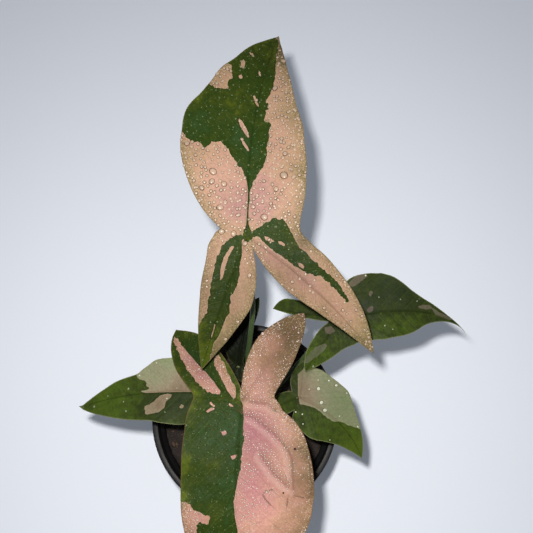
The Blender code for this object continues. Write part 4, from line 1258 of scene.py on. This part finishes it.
PINK_PALE = [(0.0, (0.28, 0.145, 0.135)), (0.28, (0.31, 0.175, 0.138)), (0.52, (0.32, 0.192, 0.126)),
             (0.78, (0.23, 0.160, 0.085)), (1.0, (0.12, 0.10, 0.040))]
PINK_TAN = [(0.0, (0.29, 0.120, 0.128)), (0.28, (0.31, 0.145, 0.130)), (0.52, (0.34, 0.180, 0.132)),
            (0.78, (0.23, 0.130, 0.078)), (1.0, (0.12, 0.080, 0.040))]
GREY_PALE = [(0.0, (0.14, 0.10, 0.062)), (0.35, (0.20, 0.165, 0.108)), (0.65, (0.175, 0.185, 0.105)),
             (1.0, (0.145, 0.18, 0.085))]
DULL_PALE = [(0.0, (0.070, 0.055, 0.040)), (0.35, (0.085, 0.075, 0.048)), (0.65, (0.075, 0.085, 0.045)),
             (1.0, (0.060, 0.080, 0.028))]
LEAF_GREEN = [(0.0, (0.020, 0.046, 0.013)), (0.4, (0.014, 0.029, 0.003)), (0.7, (0.026, 0.038, 0.004)),
              (1.0, (0.060, 0.080, 0.006))]
LOWER_GREEN = [(0.0, (0.014, 0.021, 0.007)), (0.4, (0.021, 0.030, 0.006)), (0.7, (0.038, 0.060, 0.007)),
               (1.0, (0.056, 0.085, 0.008))]
TAN_RIM, BROWN_RIM, GREEN_RIM = (0.10, 0.075, 0.035), (0.10, 0.055, 0.03), (0.16, 0.17, 0.08)
# Scurf is the edge's own dark speckle; the glint is a painted highlight
SCURF, GLINT = (0.115, 0.075, 0.035), (0.44, 0.33, 0.20)
GREEN_VEIN, GREEN_NET, GREEN_RIB = (0.045, 0.075, 0.012), (0.045, 0.07, 0.014), (0.010, 0.018, 0.003)
PINK_VEIN, PINK_NET = (0.20, 0.085, 0.085), (0.21, 0.10, 0.08)
CREAM_LINE, DARK_LINE = (0.36, 0.26, 0.16), (0.012, 0.018, 0.004)
# Painted light of dew beads too small to build, on pale and on green parts
PALE_MIST_LIGHT, GREEN_MIST_LIGHT = (0.52, 0.40, 0.29), (0.16, 0.20, 0.09)
UNDERSIDE = (0.13, 0.165, 0.085)
# Painted shade beside a fold, painted highlight on its ridge, and painted shade in its crease
FOLD_PAINTED_SHADE, FOLD_PAINTED_HIGHLIGHT, FOLD_PAINTED_CREASE_SHADE = (0.17, 0.10, 0.065), (0.42, 0.27, 0.23), (0.13, 0.055, 0.05)
DRIED_MARK = (0.075, 0.04, 0.025)


def leaf_finish(name, pale_tones, green_tones, rim, crease, veined, ragged, lined, misted=0.0,
                folded=False):
    """Living leaf: a toothed border between pale and green with a cream and a dark line beside it,
    tones that drift, side veins and a net of fine ones, a thin edge line, painted light and shade
    from its shade spots over a grain of its own mottle, a paler matt underside and, when misted,
    scurf at the edge, painted glints at the edge, and beads of dew too small to build painted as
    pale dots of light."""
    made = Finish(name)
    flat = made.flat()
    pale, rib, edge = made.field("pale"), made.field("rib"), made.field("edge")
    under, slim = made.field("under"), made.field("slim")

    teeth = made.flat(0.5, 0.6).cells(1.3) - 0.4
    amount = rib.span(0.4, 2.5) * slim.span(0.0, 1.0, ragged, 0.25)
    border = pale + (flat.drift(3.0, 1.6, 1.0) + teeth) * amount - slim * 0.22
    tone = made.field("tone") + flat.drift(7.0, 0.5, 3.0) + flat.drift(1.1, 0.3, 3.0, 0.6)
    on_pale = tone.ramp(pale_tones)
    on_green = (tone + flat.drift(3.4, 0.9, 4.0, 0.65)).ramp(green_tones)
    if misted:
        near_edge = edge.span(0.6, 6.0, 1.0, 0.0)
        scurf = near_edge * flat.noise(0.6).span(0.44, 0.58)
        # Painted highlights: glints in patches near the edge
        glint = near_edge * flat.noise(6.0).span(0.3, 0.6) * flat.noise(0.7, 1.0).span(0.54, 0.66)
        on_pale = on_pale.tint(scurf * 0.6, SCURF).tint(glint * 0.7, GLINT)

    vein = made.field("vein").maths("PINGPONG", 0.5).span(0.0, 0.09, 1.0, 0.0) * rib.span(0.5, 2.0)
    net = flat.cells(2.1, "DISTANCE_TO_EDGE").span(0.0, 0.09, 1.0, 0.0)
    on_green = on_green.tint(vein * veined, GREEN_VEIN).tint(net * 0.12, GREEN_NET)
    on_green = on_green.tint(rib.span(0.15, 0.6, 1.0, 0.0) * 0.6, GREEN_RIB)
    on_green = on_green.tint(border.span(-0.7, -0.15) * (0.5 * lined), DARK_LINE)
    on_pale = on_pale.tint(vein * 0.05, PINK_VEIN).tint(net * 0.07, PINK_NET)
    on_pale = on_pale.tint(rib.span(0.2, 1.3, 0.4, 0.0), crease)
    on_pale = on_pale.tint(border.span(0.1, 0.55, 1.0, 0.0) * (0.35 * lined), CREAM_LINE)
    height = flat.noise(0.45, 3.0, 0.6) * 0.08 + flat.noise(4.0) * 0.3 - vein * 0.12 - net * 0.04
    if misted:
        # Beads of dew too small to build, painted as pale dots of light
        bead_light = flat.cells(0.95).span(0.14, 0.36, 1.0, 0.0) * flat.noise(2.2).span(0.4, 0.56)
        fine_bead_light = flat.cells(1.25).span(0.1, 0.24, 1.0, 0.0) * flat.noise(1.8, 1.0).span(0.44, 0.58)
        on_pale = on_pale.tint(bead_light * (near_edge + 1.0) * (0.5 * misted), PALE_MIST_LIGHT)
        on_green = on_green.tint(fine_bead_light * misted, GREEN_MIST_LIGHT)
        height = height + bead_light * 0.12

    colour = on_green.tint(border.span(-0.1, 0.1), on_pale)
    colour = colour.tint(edge.span(0.1, 0.55, 1.0, 0.0) * 0.65, rim)
    # Painted light and shade from the shade spots, times a grain of the leaf's own mottle
    painted_shade = made.field("painted_shade") * (flat.noise(1.3, 4.0, 0.65) * 0.7 + 0.65)
    colour = add_node(made.tree, "VectorMath", {0: colour, "Scale": painted_shade}, operation="SCALE")
    colour = colour.tint(under, colour.tint(0.45, UNDERSIDE))
    # Painted shade and highlight along the folds
    if folded:
        colour = with_folds(made, colour)
    rough = under * 0.2 + flat.noise(2.5) * 0.14 + 0.42
    return made.give({"Base Color": colour, "Roughness": rough, "Specular IOR Level": 0.06},
                     height, 0.8)


def with_folds(made, colour):
    """Painted shade in mauve-brown on the outer side of each fold, a painted highlight along the
    ridge beside it and a thin painted dark line in the crease, and thin dried marks, along the lines
    that the fold and mark fields give."""
    fold = made.field("fold")
    painted_fold_shade = fold.span(0.5, 5.0, 0.35, 0.0) * fold.maths("GREATER_THAN", 0.0)
    painted_ridge_light = (fold + 2.4).maths("ABSOLUTE").span(0.0, 2.0, 0.34, 0.0) * made.field("pale").span(0.0, 1.0)
    line = fold.maths("ABSOLUTE").span(0.0, 1.1, 0.5, 0.0)
    dried = made.field("mark").maths("ABSOLUTE").span(0.1, 0.6, 1.0, 0.0)
    broken = made.flat().noise(2.2).span(0.34, 0.5, 0.0, 0.6)
    colour = colour.tint(painted_fold_shade, FOLD_PAINTED_SHADE).tint(painted_ridge_light, FOLD_PAINTED_HIGHLIGHT).tint(line, FOLD_PAINTED_CREASE_SHADE)
    return colour.tint(dried * broken, DRIED_MARK)


def dew_finish(name, painted_heart, ring):
    """Water on a lit leaf, with its light painted in: small drops are pale and bright, large ones
    clearer with a painted darker ring at the foot around a painted bright heart, and all are dimmer
    over green."""
    made = Finish(name)
    core, over_pale = made.field("core"), made.field("over_pale")
    # Painted light of the water: a dark ring at the foot and a bright heart, over pale and over green
    bright = core.ramp([(0.0, ring), (0.16, ring), (0.3, painted_heart)])
    dim = core.ramp([(0.0, (0.03, 0.045, 0.015)), (0.4, (0.21, 0.26, 0.13))])
    small, large = core.span(0.0, 0.3, 0.4, 0.66), core.span(0.0, 0.35, 0.6, 0.5)
    clear = small + (large - small) * made.field("broad")
    return made.give({"Base Color": dim.tint(over_pale, bright), "Roughness": 0.22, "IOR": 1.33,
                      "Alpha": clear * (over_pale * 0.45 + 0.5), "Specular IOR Level": 0.6})


def speck_finish():
    """Dry black-brown scab."""
    made = Finish("leaf_speck")
    stops = [(0.3, (0.012, 0.005, 0.003)), (0.7, (0.05, 0.02, 0.012))]
    return made.give({"Base Color": made.places().noise(0.4).ramp(stops), "Roughness": 0.8})


def petiole_finish():
    """Fresh stalk: pale green, pinker towards the blade, with fine lengthwise streaks."""
    made = Finish("petiole_skin")
    places = made.places()
    streak = places.noise(0.9, 3.0, 0.6)
    colour = (streak * 0.35 + made.field("rise") * 0.6).ramp([
        (0.0, (0.024, 0.045, 0.011)), (0.45, (0.026, 0.048, 0.012)), (0.8, (0.06, 0.07, 0.022)),
        (1.0, (0.12, 0.085, 0.04))])
    colour = colour.tint(made.field("round").span(0.7, 1.0, 0.0, 0.5), (0.035, 0.06, 0.015))
    colour = colour.tint(places.noise(0.35).span(0.62, 0.7) * 0.4, (0.15, 0.17, 0.07))
    return made.give({"Base Color": colour, "Roughness": 0.42, "Specular IOR Level": 0.35},
                     streak * 0.2, 0.7)


def stem_finish():
    """Crown of the stem: green, browner and drier towards the soil."""
    made = Finish("stem_skin")
    places = made.places()
    lift = add_node(made.tree, "SeparateXYZ", {0: places}, "Z").span(78.0, 90.0)
    colour = (places.noise(1.6, 4.0, 0.6) * 0.5 + lift * 0.6).ramp([
        (0.15, (0.04, 0.02, 0.01)), (0.45, (0.05, 0.05, 0.016)), (0.9, (0.06, 0.095, 0.025))])
    return made.give({"Base Color": colour, "Roughness": 0.55}, places.noise(0.8, 4.0, 0.7) * 0.5, 0.8)


def soil_finish():
    """Damp peat: dark crumbs with brown fibres and a little sheen where it is wet."""
    made = Finish("damp_peat")
    places = made.places()
    coarse, fine = places.noise(2.4, 5.0, 0.7), places.noise(0.5, 3.0, 0.7)
    colour = coarse.ramp([(0.3, (0.006, 0.004, 0.003)), (0.8, (0.026, 0.014, 0.008))])
    colour = colour.tint(fine.span(0.62, 0.72) * 0.5, (0.09, 0.048, 0.022))
    return made.give({"Base Color": colour, "Roughness": coarse.span(0.3, 0.7, 0.62, 0.95)},
                     fine * 0.5 + coarse * 1.2)


def crumb_finish():
    """Crumbs of peat and bark, each of its own brown."""
    made = Finish("bark_crumbs")
    grain = made.places().noise(0.6, 4.0, 0.7)
    colour = (grain * 0.4 + made.field("kind") * 0.75).ramp([
        (0.1, (0.010, 0.006, 0.004)), (0.55, (0.030, 0.016, 0.009)), (0.85, (0.075, 0.038, 0.018)),
        (1.0, (0.14, 0.085, 0.045))])
    return made.give({"Base Color": colour, "Roughness": 0.85}, grain * 0.5, 0.9)


def pot_finish():
    """Black moulded plastic: fine grain, with faint dust in drifting patches."""
    made = Finish("black_pot_plastic")
    places = made.places()
    grain, cloud = places.noise(0.5), places.noise(14.0, 4.0, 0.6)
    colour = cloud.ramp([(0.3, (0.004, 0.0036, 0.0036)), (0.7, (0.007, 0.0065, 0.0065))])
    dust = cloud.span(0.5, 0.75) * grain.span(0.4, 0.7)
    colour = colour.tint(dust * 0.04, (0.12, 0.10, 0.085))
    return made.give({"Base Color": colour, "Roughness": cloud.span(0.3, 0.7, 0.42, 0.54),
                      "Specular IOR Level": 0.15}, grain * 0.12, 0.6)


def floor_finish():
    """Plain pale floor with the slightest drift of tone."""
    made = Finish("pale_floor")
    stops = [(0.3, (0.78, 0.81, 0.88)), (0.7, (0.82, 0.85, 0.92))]
    return made.give({"Base Color": made.places().noise(900.0).ramp(stops), "Roughness": 0.9})


# Floor, lights and camera

CAMERA_PLACE = (11.6, -17.0, 462.4)
CAMERA_TILT = 75.0
FOCAL_PIXELS = 680.0
PICTURE_SIDE = 533.0
SENSOR = 36.0
FLOOR_REACH = 3000.0
MIDDLE = (0, 0, 90)
WARM, COOL = (1.0, 0.98, 0.96), (0.96, 0.98, 1.0)
SKY_COLOUR = (0.72, 0.78, 0.86, 1.0)
SKY_STRENGTH = 0.28

# Round lights: place, target, diameter in mm, power and colour
LIGHTS = {
    "key": ((-6, 7, 468), (10, 10, 60), 14, 1.85, (1.0, 0.98, 0.95)),
    "soft_front": ((300, -1300, 560), MIDDLE, 900, 0.8, WARM),
    "soft_left": ((-1250, 250, 520), MIDDLE, 900, 0.7, COOL),
    "soft_right": ((1250, 250, 520), MIDDLE, 900, 0.7, COOL),
    "soft_back": ((-300, 1300, 520), MIDDLE, 900, 0.7, COOL),
}


def build_stage():
    """A plain floor, a small bright light over the plant, soft ones round it, and the camera."""
    side = FLOOR_REACH * MM
    mesh = bpy.data.meshes.new("floor")
    corners = [(-side, -side, 0), (side, -side, 0), (side, side, 0), (-side, side, 0)]
    mesh.from_pydata(corners, [], [(0, 1, 2, 3)])
    mesh.materials.append(floor_finish())
    floor = bpy.data.objects.new("floor", mesh)
    link = bpy.context.scene.collection.objects.link
    link(floor)

    for name, (place, target, size, power, colour) in LIGHTS.items():
        data = bpy.data.lights.new(name, "AREA")
        data.shape = "DISK"
        data.size = size * MM
        data.energy = power
        data.color = colour
        light = bpy.data.objects.new(name, data)
        light.location = Vector(place) * MM
        light.rotation_euler = (Vector(target) - Vector(place)).to_track_quat("-Z", "Y").to_euler()
        link(light)
    world = bpy.data.worlds.new("studio")
    world.use_nodes = True
    sky = world.node_tree.nodes["Background"]
    sky.inputs["Color"].default_value = SKY_COLOUR
    sky.inputs["Strength"].default_value = SKY_STRENGTH
    bpy.context.scene.world = world
    bpy.context.scene.view_settings.view_transform = "Standard"

    data = bpy.data.cameras.new("camera")
    data.sensor_width = SENSOR
    data.lens = FOCAL_PIXELS / PICTURE_SIDE * SENSOR
    data.clip_start = 0.01
    camera = bpy.data.objects.new("camera", data)
    camera.location = Vector(CAMERA_PLACE) * MM
    camera.rotation_euler = (math.radians(90.0 - CAMERA_TILT), 0.0, 0.0)
    link(camera)
    bpy.context.scene.camera = camera


# The whole

# Layers of dew: spacing, least and greatest radius and the share kept, largest drops first
TOP_DEW = [(8.0, 1.1, 1.5, 0.25), (2.5, 0.62, 0.95, 0.95), (1.9, 0.28, 0.46, 0.5)]
FRONT_DEW = [(9.0, 0.9, 1.1, 0.03), (3.2, 0.4, 0.55, 0.35), (1.2, 0.22, 0.36, 0.85)]
FEW_DROPS = [(6.0, 0.3, 0.6, 0.25)]


def build_all():
    """Makes the finishes, then every piece, then the floor, lights and camera."""
    rosy = leaf_finish("rosy_leaf", PINK_PALE, LEAF_GREEN, TAN_RIM, crease=(0.16, 0.085, 0.065),
                       veined=0.1, ragged=1.0, lined=1.0, misted=0.6)
    front = leaf_finish("rosy_leaf_marked", PINK_TAN, LEAF_GREEN, BROWN_RIM, crease=(0.24, 0.12, 0.10),
                        veined=0.2, ragged=0.9, lined=0.8, misted=0.65, folded=True)
    lower = leaf_finish("green_leaf", GREY_PALE, LOWER_GREEN, GREEN_RIM, crease=(0.16, 0.11, 0.07),
                        veined=0.25, ragged=0.4, lined=0.3)
    dull = leaf_finish("dull_leaf", DULL_PALE, LOWER_GREEN, GREEN_RIM, crease=(0.06, 0.06, 0.03),
                       veined=0.25, ragged=0.5, lined=0.0)
    # The drops' light is painted: a bright heart and a darker ring at the foot of each drop
    water = dew_finish("dew_water", (0.51, 0.385, 0.28), (0.17, 0.10, 0.07))
    rosy_water = dew_finish("dew_on_rosy", (0.68, 0.54, 0.48), (0.20, 0.10, 0.09))
    grey_water = dew_finish("dew_on_green", (0.70, 0.74, 0.56), (0.16, 0.16, 0.10))
    for name, finish, slot in (("top", rosy, "pink_leaf"), ("front", front, "pink_leaf"),
                               ("left", lower, "green_leaf"), ("lower_right", lower, "green_leaf"),
                               ("right", dull, "green_leaf"), ("back", lower, "green_leaf")):
        build_blade(name, LEAVES[name], finish)
    for name, layers, finish, seed in (("top", TOP_DEW, water, 21), ("front", FRONT_DEW, rosy_water, 22),
                                       ("left", FEW_DROPS, grey_water, 30),
                                       ("lower_right", FEW_DROPS, grey_water, 31),
                                       ("right", FEW_DROPS, grey_water, 32)):
        build_drops(name, LEAVES[name], layers, finish, seed)
    build_specks("front", LEAVES["front"], speck_finish())
    stalk = petiole_finish()
    for name in LEAVES:
        build_petiole(name, stalk)
    build_stem(stem_finish())
    build_soil(soil_finish())
    build_crumbs(crumb_finish())
    build_pot(pot_finish())
    build_stage()


build_all()
